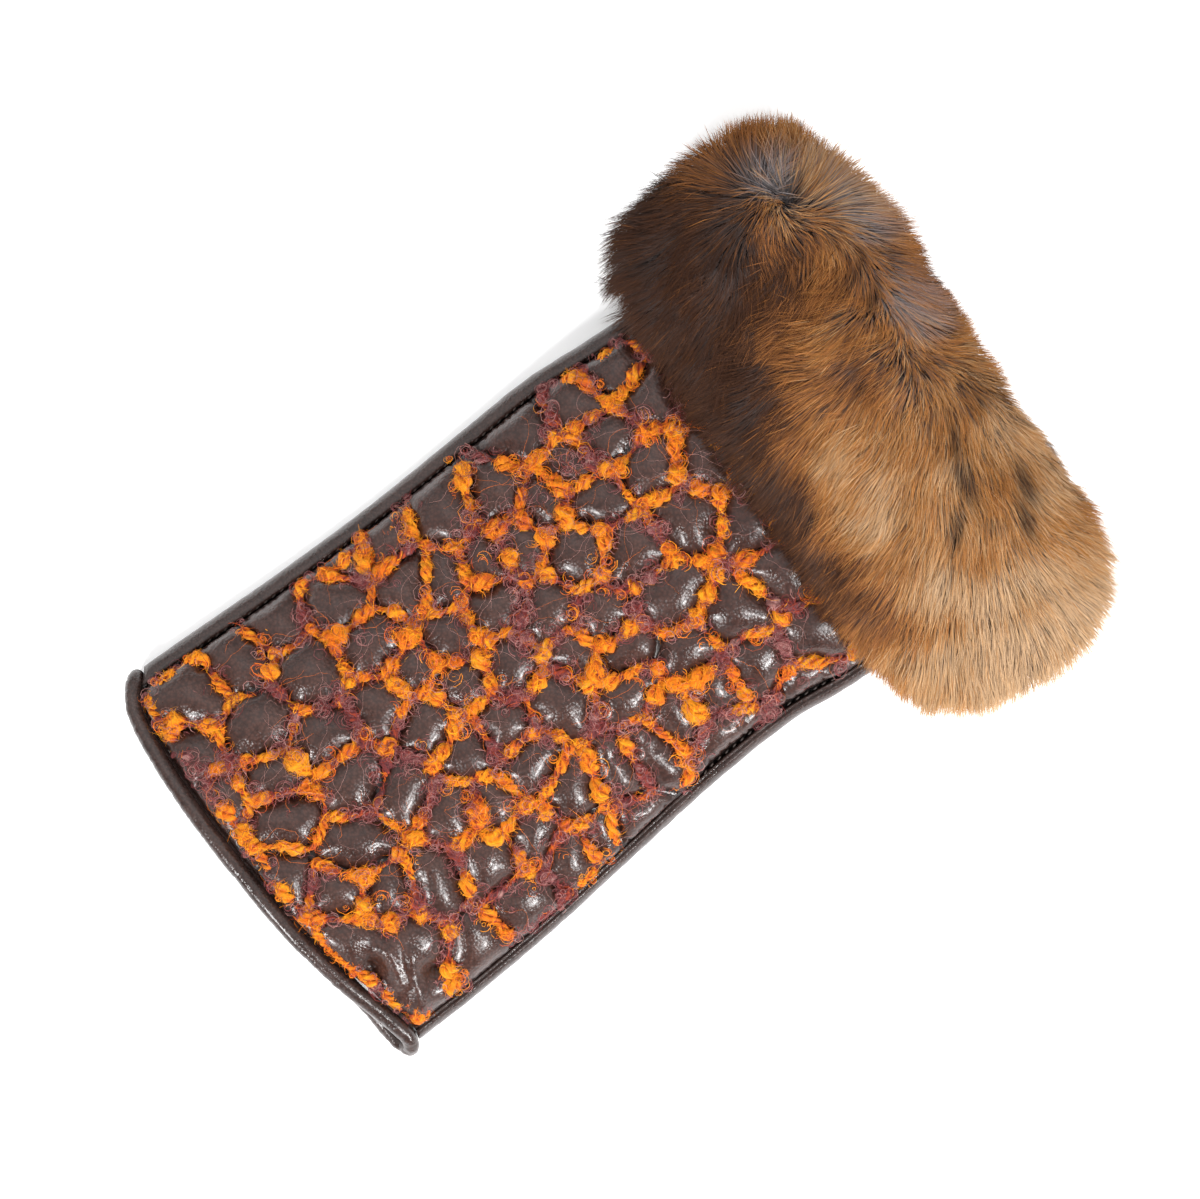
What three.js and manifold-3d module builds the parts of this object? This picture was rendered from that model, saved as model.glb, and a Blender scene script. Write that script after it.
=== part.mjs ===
// A fur-trimmed fingerless glove, lying on its palm: a quilted leather back, a plain leather palm that
// wraps round both side edges, a lining, a rolled binding round the finger opening and a fur cuff.
// Millimetres, +Z up. +Y runs along the hand from the finger opening to the wrist, +X across it.
import * as THREE from "three";
import { mergeVertices } from "three/addons/utils/BufferGeometryUtils.js";
import Module from "manifold-3d";

const wasm = await Module();
wasm.setup();

// Driving dimensions of the leather tube
const GAP = 0.3; // clear space between neighbouring pieces
const LEATHER_END = 140; // the panels end inside the fur
const LINING_END = 181; // the lining runs on to the wrist opening
const PALM_THICK = 1.2;
const LINING_THICK = 0.8;
const LINING_CLEAR = 0.9; // below the back's padding
const QUILT_THICK = 2.4; // padded back panel, in its grooves
const PAD_RISE = 2.4; // how far a quilted pad swells above its groove
const SIDE_HEIGHT = 8; // over the folded side edge
const CROWN = 11; // how far the back arches above the side edges
const ARCH_POWER = 2.2; // 2 is a parabola, more is flatter in the middle
const WRIST_LIFT = 7.5; // the flattened fur below carries the wrist this high
const LIFT_FROM = 48; // the palm leaves the surface here
const LIFT_TO = 150;
const LEFT_LIP = 3.2; // visible width of the palm leather, wrapped onto the back
const RIGHT_LIP = 1.8;
const LEFT_SEAM = 0.9; // groove between the wrapped leather and the quilted panel
const RIGHT_SEAM = 1.3;
const LINING_INSET = 2.1; // from the side edge to the fold of the lining
const LINING_FOLD = 1.6; // height of that fold over the lining's underside
const MOUTH_FADE = 30; // the bow of the finger edge dies out over this length

// Thumb slit: the right seam is left open here, through the lining too
const THUMB_FROM = 81;
const THUMB_TO = 123;
const THUMB_GAP = 0.9; // how much wider the groove is there
const THUMB_EASE = 7; // over which it widens
const LINING_SLIT = 8; // width of the cut through the lining

// Rolled binding round the finger opening
const BINDING_RADIUS = 2;
const BINDING_SIDES = 8;
const BINDING_STEPS = 56;

// Side edges of the leather tube along the hand
const OUTLINE = [
  { y: -8, left: -50.2, right: 49.2 },
  { y: 12, left: -49.6, right: 49.4 },
  { y: 36, left: -48.5, right: 48.4 },
  { y: 60, left: -48, right: 46.3 },
  { y: 84, left: -48.5, right: 44.1 },
  { y: 106, left: -48.9, right: 43.4 },
  { y: 120, left: -47.6, right: 45 },
  { y: 140, left: -46.4, right: 46 },
  { y: 190, left: -46, right: 46.5 },
];

// Bow of the finger edge: where the binding's middle runs on the back and on the palm, and its height
// on each. The first and last rows are where it turns from the one to the other.
const MOUTH = [
  { x: -49.7, back: 0.4, palm: 0.4, height: 5, sole: 5 },
  { x: -47.5, back: -1.6, palm: -1.2, height: 8, sole: 2.4 },
  { x: -42, back: -4.2, palm: -3.6, height: 10, sole: 2 },
  { x: -30, back: -5.7, palm: -5, height: 13.6, sole: 2 },
  { x: -15, back: -6.3, palm: -5.7, height: 16.4, sole: 2 },
  { x: 0, back: -6, palm: -5.5, height: 17, sole: 2 },
  { x: 15, back: -5.3, palm: -5, height: 16.4, sole: 2 },
  { x: 28, back: -3.6, palm: -4, height: 14, sole: 2 },
  { x: 38, back: -1.4, palm: -2.9, height: 11, sole: 2 },
  { x: 46.5, back: 0.1, palm: -2.5, height: 8.6, sole: 2.4 },
  { x: 49.6, back: -1.1, palm: -1.1, height: 5.2, sole: 5.2 },
];

// Quilted pads, charted by eye in rows across the hand: y of the row and x of each pad's middle
const PAD_HALF_WIDTH = 46; // half the width of the even chart that is stretched onto the panel
const PAD_ROWS = [
  { y: -1, pads: [-28, -16, 5] },
  { y: 3, pads: [22] },
  { y: 8.5, pads: [-38, -6, 14, 43] },
  { y: 12.5, pads: [-13, 31] },
  { y: 16.5, pads: [-24, 8, 20] },
  { y: 20, pads: [-39] },
  { y: 24.5, pads: [-15, -3, 23, 42] },
  { y: 31.5, pads: [-41, -26, 5] },
  { y: 37, pads: [15, 27, 40] },
  { y: 40, pads: [-12] },
  { y: 45, pads: [-36, -23, -4, 19] },
  { y: 49, pads: [-14, 7, 29] },
  { y: 52.5, pads: [-42, 37] },
  { y: 55.5, pads: [-6, 7, 17] },
  { y: 59.5, pads: [-39, -30, -14, 27, 38] },
  { y: 66, pads: [-26, -3, 40] },
  { y: 70.5, pads: [-14, 9, 30] },
  { y: 75, pads: [-36, -23] },
  { y: 78.5, pads: [-6, 4, 30] },
  { y: 83, pads: [-22, 17] },
  { y: 86.5, pads: [-33, 2, 10, 27] },
  { y: 93, pads: [-26, -13, 38] },
  { y: 97.5, pads: [-40, 19, 27] },
  { y: 101.5, pads: [-28, -19, -6, 6] },
  { y: 107, pads: [28] },
  { y: 110.5, pads: [-38, -28, 18] },
  { y: 115, pads: [-18, -5, 40] },
  { y: 121.5, pads: [-38, 32] },
  { y: 125, pads: [-30, -11, 4, 17] },
  { y: 135, pads: [-40, -24, -8, 8, 24, 40] },
];

// Fur cuff: sections of the hair's outer form along the hand, in the cuff's own frame
const FUR_X = 1.2;
const FUR_Y = 157;
const FUR_Z = 20; // the flattened hair below reaches the surface
const FUR_TURN = THREE.MathUtils.degToRad(-3.3);
const FUR_SQUARENESS = 2.5; // 2 is an ellipse, more is squarer
const FUR_SIDES = 32;
const FUR_HALF_LENGTH = 31;
const FUR_SECTIONS = [
  { y: -29, half_width: 50, half_height: 18 },
  { y: -26.5, half_width: 58, half_height: 21 },
  { y: -20, half_width: 64, half_height: 23 },
  { y: -10, half_width: 66.8, half_height: 23.6 },
  { y: 3, half_width: 67.8, half_height: 24.4 },
  { y: 15, half_width: 66.5, half_height: 23.6 },
  { y: 24, half_width: 61.5, half_height: 20.5 },
  { y: 30, half_width: 52, half_height: 16 },
  { y: 33, half_width: 38, half_height: 11 },
];

// Locks of hair, in rings round the cuff. Their tips lie on the outer form, away from the parting.
const LOCK_RINGS = [
  { y: -22, locks: 20 },
  { y: -12.5, locks: 22 },
  { y: -3, locks: 23 },
  { y: 6.5, locks: 23 },
  { y: 16, locks: 22 },
  { y: 25, locks: 18 },
];
const LOCK_REACH = 5; // the locks stand this far out of the backing
const PARTING_Y = 12;
const LEAN_OVER = 16; // full lean is reached this far from the parting
const LOCK_LEAN = 8; // how far a fully leaning tip lies along the cuff from its root
const LOCK_RADIUS = 8.5;
const LOCK_SINK = 3.5; // how deep a lock's root is in the backing
const LOCK_SIDES = 4;
const TIP_SPREAD = 1.2; // tips stand up to this far off the outer form
const SPREAD_TURN = 5.1; // radians from one lock's spread to the next one's, and from ring to ring
const SPREAD_RING = 2.3;

// Sheet leather, quilted leather, lining cloth and fur, as the photograph shows them
const darkLeather = new THREE.MeshStandardMaterial({ color: 0x3e302a, roughness: 0.42, metalness: 0 });
const quiltedLeather = new THREE.MeshStandardMaterial({ color: 0x46332d, roughness: 0.38, metalness: 0 });
const liningCloth = new THREE.MeshStandardMaterial({ color: 0x37322e, roughness: 0.95, metalness: 0 });
const brownFur = new THREE.MeshStandardMaterial({ color: 0x8a5f38, roughness: 0.9, metalness: 0 });

// Value of one column of a table at a place between its rows, on a smooth curve through them
function along(table, key, column) {
  return (at) => {
    const last = table.length - 1;
    const place = THREE.MathUtils.clamp(at, table[0][key], table[last][key]);
    let row = 0;
    while (row < last - 1 && table[row + 1][key] < place) row += 1;
    const value = (index) => table[THREE.MathUtils.clamp(index, 0, last)][column];
    const share = (place - table[row][key]) / (table[row + 1][key] - table[row][key]);
    const [before, start, end, after] = [row - 1, row, row + 1, row + 2].map(value);
    const bend = (2 * before - 5 * start + 4 * end - after) * share ** 2;
    const twist = (3 * start - before - 3 * end + after) * share ** 3;
    return start + 0.5 * ((end - before) * share + bend + twist);
  };
}

const leftEdge = along(OUTLINE, "y", "left");
const rightEdge = along(OUTLINE, "y", "right");
const mouthBack = along(MOUTH, "x", "back");
const mouthPalm = along(MOUTH, "x", "palm");
const furHalfWidth = along(FUR_SECTIONS, "y", "half_width");
const furHalfHeight = along(FUR_SECTIONS, "y", "half_height");

const sideRadius = SIDE_HEIGHT / 2;
const restHeight = (y) => WRIST_LIFT * THREE.MathUtils.smoothstep(y, LIFT_FROM, LIFT_TO);
const quiltLeft = (y) => leftEdge(y) + LEFT_LIP + LEFT_SEAM;

// Right edge of the quilted panel, which draws back along the thumb slit
function quiltRight(y) {
  const opened = THREE.MathUtils.smoothstep(y, THUMB_FROM, THUMB_FROM + THUMB_EASE);
  const closed = THREE.MathUtils.smoothstep(y, THUMB_TO - THUMB_EASE, THUMB_TO);
  return rightEdge(y) - RIGHT_LIP - RIGHT_SEAM - THUMB_GAP * (opened - closed);
}

// Height of the back's outer surface, without its pads
function archHeight(x, y) {
  const middle = (quiltLeft(y) + quiltRight(y)) / 2;
  const half = (quiltRight(y) - quiltLeft(y)) / 2;
  const across = Math.min(1, Math.abs(x - middle) / half);
  return restHeight(y) + SIDE_HEIGHT + CROWN * (1 - across ** ARCH_POWER);
}

// A panel's point: its finger edge keeps clear of the binding and follows the bow of the mouth, which
// is the palm's low down and the back's higher up
function bowed(x, y, z) {
  const fade = Math.max(0, 1 - y / MOUTH_FADE);
  const up = THREE.MathUtils.clamp((z - restHeight(y)) / SIDE_HEIGHT, 0, 1);
  const mouth = THREE.MathUtils.lerp(mouthPalm(x), mouthBack(x), up);
  return new THREE.Vector3(x, y + (mouth + BINDING_RADIUS + 2 * GAP) * fade, z);
}

// A closed body from its triangles, with its faces turned outwards
function bodyOf(points, triangles) {
  let volume = 0;
  for (const [a, b, c] of triangles) {
    volume += points[a].dot(new THREE.Vector3().crossVectors(points[b], points[c]));
  }
  const order = volume < 0 ? triangles.map(([a, b, c]) => [a, c, b]) : triangles;
  const geometry = new THREE.BufferGeometry().setFromPoints(points);
  geometry.setIndex(order.flat());
  return mergeVertices(geometry, 1e-3);
}

// A body through rings of equally many points, with its two ends closed
function loft(rings) {
  const count = rings[0].length;
  const triangles = [];
  for (let ring = 0; ring + 1 < rings.length; ring += 1) {
    for (let i = 0; i < count; i += 1) {
      const a = ring * count + i;
      const b = ring * count + ((i + 1) % count);
      triangles.push([a, b, b + count], [a, b + count, a + count]);
    }
  }
  const flat = rings[0].map((p) => new THREE.Vector2(p.x, p.z));
  const lastStart = (rings.length - 1) * count;
  for (const [a, b, c] of THREE.ShapeUtils.triangulateShape(flat, [])) {
    triangles.push([c, b, a], [lastStart + a, lastStart + b, lastStart + c]);
  }
  return bodyOf(rings.flat(), triangles);
}

// A geometry as a solid for cutting and joining, and back
function solidOf(geometry) {
  const bare = new THREE.BufferGeometry();
  bare.setAttribute("position", geometry.getAttribute("position"));
  bare.setIndex(geometry.index);
  const merged = mergeVertices(bare, 1e-4);
  const vertProperties = new Float32Array(merged.getAttribute("position").array);
  const triVerts = new Uint32Array(merged.index.array);
  return new wasm.Manifold(new wasm.Mesh({ numProp: 3, vertProperties, triVerts }));
}

function geometryOf(solid) {
  const { vertProperties, triVerts } = solid.getMesh();
  const geometry = new THREE.BufferGeometry();
  geometry.setAttribute("position", new THREE.BufferAttribute(vertProperties, 3));
  geometry.setIndex(new THREE.BufferAttribute(triVerts, 1));
  return geometry;
}

function pieceOf(name, geometry, material) {
  geometry.computeVertexNormals();
  const mesh = new THREE.Mesh(geometry, material);
  mesh.name = name;
  return mesh;
}

// Stations along the hand for the swept pieces, closer together where the shape changes
function stations(to) {
  const list = [0, 6, 14, 30, LIFT_FROM, 62, 74, THUMB_FROM, 92, 104, 114, THUMB_TO, 132, LEATHER_END];
  return to > LEATHER_END ? [...list, 152, 166, to] : list;
}

// Points on an arc in the section's plane, as [x, z]
function arc(cx, cz, radius, from, to, steps) {
  return Array.from({ length: steps + 1 }, (_, i) => {
    const angle = THREE.MathUtils.degToRad(from + ((to - from) * i) / steps);
    return [cx + radius * Math.cos(angle), cz + radius * Math.sin(angle)];
  });
}

// Palm: one sheet of leather that lies flat below and folds up round both side edges
const LIP_STEPS = 5;
const FLAT_STEPS = 4;
function palmSection(y) {
  const base = restHeight(y);
  const left = leftEdge(y) + sideRadius;
  const right = rightEdge(y) - sideRadius;
  const lipAngle = (lip) => THREE.MathUtils.radToDeg(Math.acos((sideRadius - lip) / sideRadius));
  const side = (radius) => {
    const flat = Array.from({ length: FLAT_STEPS - 1 }, (_, i) => [
      left + ((right - left) * (i + 1)) / FLAT_STEPS,
      base + sideRadius - radius,
    ]);
    return [
      ...arc(left, base + sideRadius, radius, 180 - lipAngle(LEFT_LIP), 270, LIP_STEPS),
      ...flat,
      ...arc(right, base + sideRadius, radius, -90, lipAngle(RIGHT_LIP), LIP_STEPS),
    ];
  };
  return [...side(sideRadius), ...side(sideRadius - PALM_THICK).reverse()];
}

function palmPanel() {
  const rings = stations(LEATHER_END).map((y) => palmSection(y).map(([x, z]) => bowed(x, y, z)));
  return pieceOf("palm_panel", loft(rings), darkLeather);
}

// Lining: a sleeve with a lens-shaped section, flat below and arched above. The ring of its inside
// is set in by its thickness, and further at the folds.
const LENS_STEPS = 12;
const FOLD_THICK = 2;
function liningRing(y, isInside) {
  const thick = isInside ? LINING_THICK : 0;
  const inset = LINING_INSET + (isInside ? FOLD_THICK : 0);
  const left = leftEdge(y) + inset;
  const right = rightEdge(y) - inset;
  const floor = restHeight(y) + PALM_THICK + GAP;
  const above = [[left, floor + LINING_FOLD]];
  const below = [];
  for (let i = 1; i < LENS_STEPS; i += 1) {
    const x = (left + right) / 2 - ((right - left) / 2) * Math.cos((Math.PI * i) / LENS_STEPS);
    above.push([x, archHeight(x, y) - QUILT_THICK - LINING_CLEAR - thick]);
    below.push([x, floor + thick]);
  }
  above.push([right, floor + LINING_FOLD]);
  return [...below, ...above.reverse()].map(([x, z]) => bowed(x, y, z));
}

// Rings of a cutting body, whose first and last ring run on past what they cut
const OVERRUN = 5;
function overrun(rings, before, after) {
  for (const point of rings[0]) point.y -= before;
  for (const point of rings[rings.length - 1]) point.y += after;
  return rings;
}

function liningSleeve() {
  const list = stations(LINING_END);
  const outside = list.map((y) => liningRing(y, false));
  const inside = overrun(list.map((y) => liningRing(y, true)), OVERRUN, OVERRUN);
  const slitY = (THUMB_FROM + THUMB_TO) / 2;
  const slit = new THREE.BoxGeometry(LINING_SLIT, THUMB_TO - THUMB_FROM, 2 * SIDE_HEIGHT);
  slit.translate(quiltRight(slitY) + LINING_SLIT / 4, slitY, restHeight(slitY) + SIDE_HEIGHT);
  const sleeve = solidOf(loft(outside)).subtract(solidOf(loft(inside))).subtract(solidOf(slit));
  return pieceOf("lining_sleeve", geometryOf(sleeve), liningCloth);
}

// Part of a polygon on the near side of the line halfway between a pad and its neighbour
function clipHalfway(polygon, pad, other) {
  const nx = other.x - pad.x;
  const ny = other.y - pad.y;
  const limit = (nx * (other.x + pad.x) + ny * (other.y + pad.y)) / 2;
  const kept = [];
  polygon.forEach((p, i) => {
    const q = polygon[(i + 1) % polygon.length];
    const dp = nx * p.x + ny * p.y - limit;
    const dq = nx * q.x + ny * q.y - limit;
    if (dp <= 0) kept.push(p);
    if (dp < 0 !== dq < 0 && dp !== dq) {
      const share = dp / (dp - dq);
      kept.push({ x: p.x + (q.x - p.x) * share, y: p.y + (q.y - p.y) * share });
    }
  });
  return kept;
}

// Middles of the pads on the even chart, whose sides and finger edge are straight
function padMiddles() {
  return PAD_ROWS.flatMap((row) =>
    row.pads.map((x) => {
      const bow = mouthBack(x) + BINDING_RADIUS + 2 * GAP;
      const y = row.y < MOUTH_FADE ? (row.y - bow) / (1 - bow / MOUTH_FADE) : row.y;
      const share = (x - quiltLeft(y)) / (quiltRight(y) - quiltLeft(y));
      return { x: (2 * share - 1) * PAD_HALF_WIDTH, y };
    }),
  );
}

// Back: each pad is a faceted cushion over its own share of the panel, low along its edges
const PAD_SHOULDER = 0.52; // the shoulder's distance from the pad's middle, of the way to its edge
const SHOULDER_RISE = 0.86;
function quiltedBack() {
  const middles = padMiddles();
  const points = [];
  const triangles = [];
  const place = (p, rise) => {
    const share = (p.x + PAD_HALF_WIDTH) / (2 * PAD_HALF_WIDTH);
    const x = THREE.MathUtils.lerp(quiltLeft(p.y), quiltRight(p.y), share);
    points.push(bowed(x, p.y, archHeight(x, p.y) + rise));
    return points.length - 1;
  };
  const [w, h] = [PAD_HALF_WIDTH, LEATHER_END];
  const panel = [{ x: -w, y: 0 }, { x: w, y: 0 }, { x: w, y: h }, { x: -w, y: h }];
  const onRim = (p, q) => ["x", "y"].some((k) => p[k] === q[k] && panel.some((corner) => corner[k] === p[k]));
  for (const pad of middles) {
    const others = middles.filter((other) => other !== pad);
    const outline = others.reduce((shape, other) => clipHalfway(shape, pad, other), panel);
    const inward = (p) => ({
      x: pad.x + (p.x - pad.x) * PAD_SHOULDER,
      y: pad.y + (p.y - pad.y) * PAD_SHOULDER,
    });
    const groove = outline.map((p) => place(p, 0));
    const shoulder = outline.map((p) => place(inward(p), PAD_RISE * SHOULDER_RISE));
    const under = outline.map((p) => place(p, -QUILT_THICK));
    const top = place(pad, PAD_RISE);
    const bottom = place(pad, -QUILT_THICK);
    outline.forEach((p, i) => {
      const j = (i + 1) % outline.length;
      triangles.push([groove[i], groove[j], shoulder[j]], [groove[i], shoulder[j], shoulder[i]]);
      triangles.push([shoulder[i], shoulder[j], top], [under[j], under[i], bottom]);
      if (onRim(p, outline[j])) {
        triangles.push([groove[j], groove[i], under[i]], [groove[j], under[i], under[j]]);
      }
    });
  }
  return pieceOf("quilted_back", bodyOf(points, triangles), quiltedLeather);
}

// Binding: one roll of leather that goes once round the finger opening
function fingerBinding() {
  const upper = MOUTH.map((row) => new THREE.Vector3(row.x, row.back, row.height));
  const between = MOUTH.slice(1, -1).reverse();
  const lower = between.map((row) => new THREE.Vector3(row.x, row.palm, row.sole));
  const path = new THREE.CatmullRomCurve3([...upper, ...lower], true, "centripetal");
  const roll = new THREE.TubeGeometry(path, BINDING_STEPS, BINDING_RADIUS, BINDING_SIDES, true);
  roll.deleteAttribute("normal");
  roll.deleteAttribute("uv");
  return pieceOf("finger_binding", mergeVertices(roll, 1e-3), darkLeather);
}

// Point of the fur's outer form, less inset, in the cuff's own frame
function furPoint(y, angle, inset) {
  const power = 2 / FUR_SQUARENESS;
  const [c, s] = [Math.cos(angle), Math.sin(angle)];
  const x = Math.sign(c) * Math.abs(c) ** power * (furHalfWidth(y) - inset);
  const z = Math.sign(s) * Math.abs(s) ** power * (furHalfHeight(y) - inset);
  return new THREE.Vector3(x, y * (1 - inset / FUR_HALF_LENGTH), z);
}

// Angles that stand evenly spaced round the section at y, found on a finely divided one
const FINE_STEPS = 800;
function evenAngles(y, count, turned) {
  const fine = FINE_STEPS;
  const round = Array.from({ length: fine + 1 }, (_, i) => furPoint(y, (2 * Math.PI * i) / fine, 0));
  const run = [0];
  for (let i = 1; i <= fine; i += 1) run.push(run[i - 1] + round[i].distanceTo(round[i - 1]));
  return Array.from({ length: count }, (_, i) => {
    const reached = run.findIndex((length) => length >= (run[fine] * (i + turned)) / count);
    return (2 * Math.PI * reached) / fine;
  });
}

// One lock: a pyramid from inside the backing to a tip on the outer form
function lockSolid(y, angle, spread) {
  const lean = THREE.MathUtils.clamp((y - PARTING_Y) / LEAN_OVER, -1, 1);
  const root = furPoint(y, angle, LOCK_REACH + LOCK_SINK);
  const tip = furPoint(y + LOCK_LEAN * lean, angle, -spread);
  const length = tip.distanceTo(root);
  const lock = new THREE.ConeGeometry(LOCK_RADIUS, length, LOCK_SIDES);
  const direction = tip.sub(root).normalize();
  lock.translate(0, length / 2, 0);
  lock.applyQuaternion(new THREE.Quaternion().setFromUnitVectors(new THREE.Vector3(0, 1, 0), direction));
  lock.translate(root.x, root.y, root.z);
  return solidOf(lock);
}

// Room inside the cuff: a roomy arch over the leather tube, then the lining's own form, grown a little
const ROOF_STEPS = 12;
const ROOF_CLEAR = 1.6;
const ROOM_STATIONS = [100, 112, THUMB_TO, 132, LEATHER_END + GAP];
const LINING_STATIONS = [132, LEATHER_END, 152, 166, LINING_END];
function sleeveRoom() {
  const tube = ROOM_STATIONS.map((y) => {
    const reach = sideRadius + 2 * GAP;
    const centre = restHeight(y) + sideRadius;
    const left = leftEdge(y) + sideRadius;
    const right = rightEdge(y) - sideRadius;
    const roof = Array.from({ length: ROOF_STEPS - 1 }, (_, i) => {
      const x = (left + right) / 2 + ((right - left) / 2) * Math.cos((Math.PI * (i + 1)) / ROOF_STEPS);
      return [x, archHeight(x, y) + PAD_RISE + ROOF_CLEAR];
    });
    const rightSide = arc(right, centre, reach, -90, 80, LIP_STEPS);
    const leftSide = arc(left, centre, reach, 100, 270, LIP_STEPS);
    return [...rightSide, ...roof, ...leftSide].map(([x, z]) => new THREE.Vector3(x, y, z));
  });
  const lining = LINING_STATIONS.map((y) => {
    const middleX = (leftEdge(y) + rightEdge(y)) / 2;
    const centre = new THREE.Vector3(middleX, y, (archHeight(0, y) + restHeight(y)) / 2);
    return liningRing(y, false).map((p) => p.addScaledVector(p.clone().sub(centre).normalize(), 2 * GAP));
  });
  return solidOf(loft(tube)).add(solidOf(loft(overrun(lining, 0, FUR_HALF_LENGTH))));
}

function furCuff() {
  const ring = (y) =>
    Array.from({ length: FUR_SIDES }, (_, i) => furPoint(y, (2 * Math.PI * i) / FUR_SIDES, LOCK_REACH));
  const form = [solidOf(loft(FUR_SECTIONS.map(({ y }) => ring(y))))];
  LOCK_RINGS.forEach(({ y, locks }, ringIndex) => {
    evenAngles(y, locks, (ringIndex % 2) / 2).forEach((angle, i) => {
      form.push(lockSolid(y, angle, TIP_SPREAD * Math.sin(SPREAD_TURN * i + SPREAD_RING * ringIndex)));
    });
  });
  const placed = new THREE.Matrix4().makeRotationZ(FUR_TURN).setPosition(FUR_X, FUR_Y, FUR_Z);
  const shaggy = geometryOf(wasm.Manifold.union(form)).applyMatrix4(placed);
  const below = new THREE.BoxGeometry(6 * LEATHER_END, 6 * LEATHER_END, 2 * FUR_Z).translate(0, 0, -FUR_Z);
  const cuff = solidOf(shaggy).subtract(sleeveRoom()).subtract(solidOf(below));
  const pieces = cuff.decompose(); // the cuff, and any tip of a lock that the cuts parted from it
  const whole = pieces.reduce((most, piece) => (piece.volume() > most.volume() ? piece : most));
  return pieceOf("fur_cuff", geometryOf(whole), brownFur);
}

const glove = new THREE.Group();
glove.add(palmPanel(), quiltedBack(), liningSleeve(), fingerBinding(), furCuff());

// The part's origin is the middle of its bounding box, on the surface that it rests on
const bounds = new THREE.Box3().setFromObject(glove);
const middle = bounds.getCenter(new THREE.Vector3());
glove.position.set(-middle.x, -middle.y, -bounds.min.z);

export default glove;
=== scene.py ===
# %% [markdown]
# # A fur-trimmed fingerless glove
#
# A leather tube for the hand lies flat on its palm. Its back is a padded panel, quilted with a lumpy
# couched yarn. One roll of leather binds the finger opening, and a deep cuff of fur closes the wrist.
# The CAD model already holds every part's size and place. This lesson dresses it: each plain solid
# is replaced by a piece that has the real one's surface, and the yarn and the hair are added to it.

import math

import bmesh
import bpy
import numpy as np
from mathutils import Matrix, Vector, noise


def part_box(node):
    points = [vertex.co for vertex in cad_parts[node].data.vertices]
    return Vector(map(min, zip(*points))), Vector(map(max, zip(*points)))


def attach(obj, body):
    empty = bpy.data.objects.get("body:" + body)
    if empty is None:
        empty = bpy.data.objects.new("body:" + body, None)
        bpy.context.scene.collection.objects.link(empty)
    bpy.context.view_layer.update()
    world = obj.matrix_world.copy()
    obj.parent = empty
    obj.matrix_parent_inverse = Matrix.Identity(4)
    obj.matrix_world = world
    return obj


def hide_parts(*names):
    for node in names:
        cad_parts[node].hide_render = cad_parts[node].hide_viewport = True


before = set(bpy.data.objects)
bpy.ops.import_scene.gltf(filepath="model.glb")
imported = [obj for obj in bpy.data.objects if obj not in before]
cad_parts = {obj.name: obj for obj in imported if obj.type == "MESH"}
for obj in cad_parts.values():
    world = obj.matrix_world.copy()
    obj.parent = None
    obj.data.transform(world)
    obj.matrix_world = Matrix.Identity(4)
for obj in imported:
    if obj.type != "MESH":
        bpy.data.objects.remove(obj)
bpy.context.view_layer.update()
scene = bpy.context.scene
print("CAD nodes:", ", ".join(sorted(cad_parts)))

# %% [markdown]
# ## The glove's own measures
#
# A pattern cutter works from the hand: y runs from the finger opening to the wrist and x across the
# hand, in millimetres. The same short tables that shape the CAD solids are repeated here, so every
# dressed piece lies where its solid lies. A smooth curve goes through the rows of each table.

# %% Curves through the tables
def along(table, column):
    """Smooth curve through one column of a table whose first column is the place."""
    rows = np.array(table, float)
    last = len(rows) - 1

    def value(at):
        place = np.clip(at, rows[0, 0], rows[last, 0])
        row = np.clip(np.searchsorted(rows[:, 0], place) - 1, 0, last - 1)
        share = (place - rows[row, 0]) / (rows[row + 1, 0] - rows[row, 0])
        before, start, end, after = (rows[np.clip(row + k, 0, last), column] for k in (-1, 0, 1, 2))
        bend = (2 * before - 5 * start + 4 * end - after) * share**2
        twist = (3 * start - before - 3 * end + after) * share**3
        return start + 0.5 * ((end - before) * share + bend + twist)

    return value


def smoothstep(at, low, high):
    share = np.clip((at - low) / (high - low), 0, 1)
    return share * share * (3 - 2 * share)


# Side edges of the leather tube: y, left, right
OUTLINE = [
    (-8, -50.2, 49.2),
    (12, -49.6, 49.4),
    (36, -48.5, 48.4),
    (60, -48, 46.3),
    (84, -48.5, 44.1),
    (106, -48.9, 43.4),
    (120, -47.6, 45),
    (140, -46.4, 46),
    (190, -46, 46.5),
]
# Bow of the finger edge: x, y on the back, y on the palm, height on the back, height on the palm
MOUTH = [
    (-49.7, 0.4, 0.4, 5, 5),
    (-47.5, -1.6, -1.2, 8, 2.4),
    (-42, -4.2, -3.6, 10, 2),
    (-30, -5.7, -5, 13.6, 2),
    (-15, -6.3, -5.7, 16.4, 2),
    (0, -6, -5.5, 17, 2),
    (15, -5.3, -5, 16.4, 2),
    (28, -3.6, -4, 14, 2),
    (38, -1.4, -2.9, 11, 2),
    (46.5, 0.1, -2.5, 8.6, 2.4),
    (49.6, -1.1, -1.1, 5.2, 5.2),
]
left_edge, right_edge = along(OUTLINE, 1), along(OUTLINE, 2)
mouth_back, mouth_palm = along(MOUTH, 1), along(MOUTH, 2)

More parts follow.
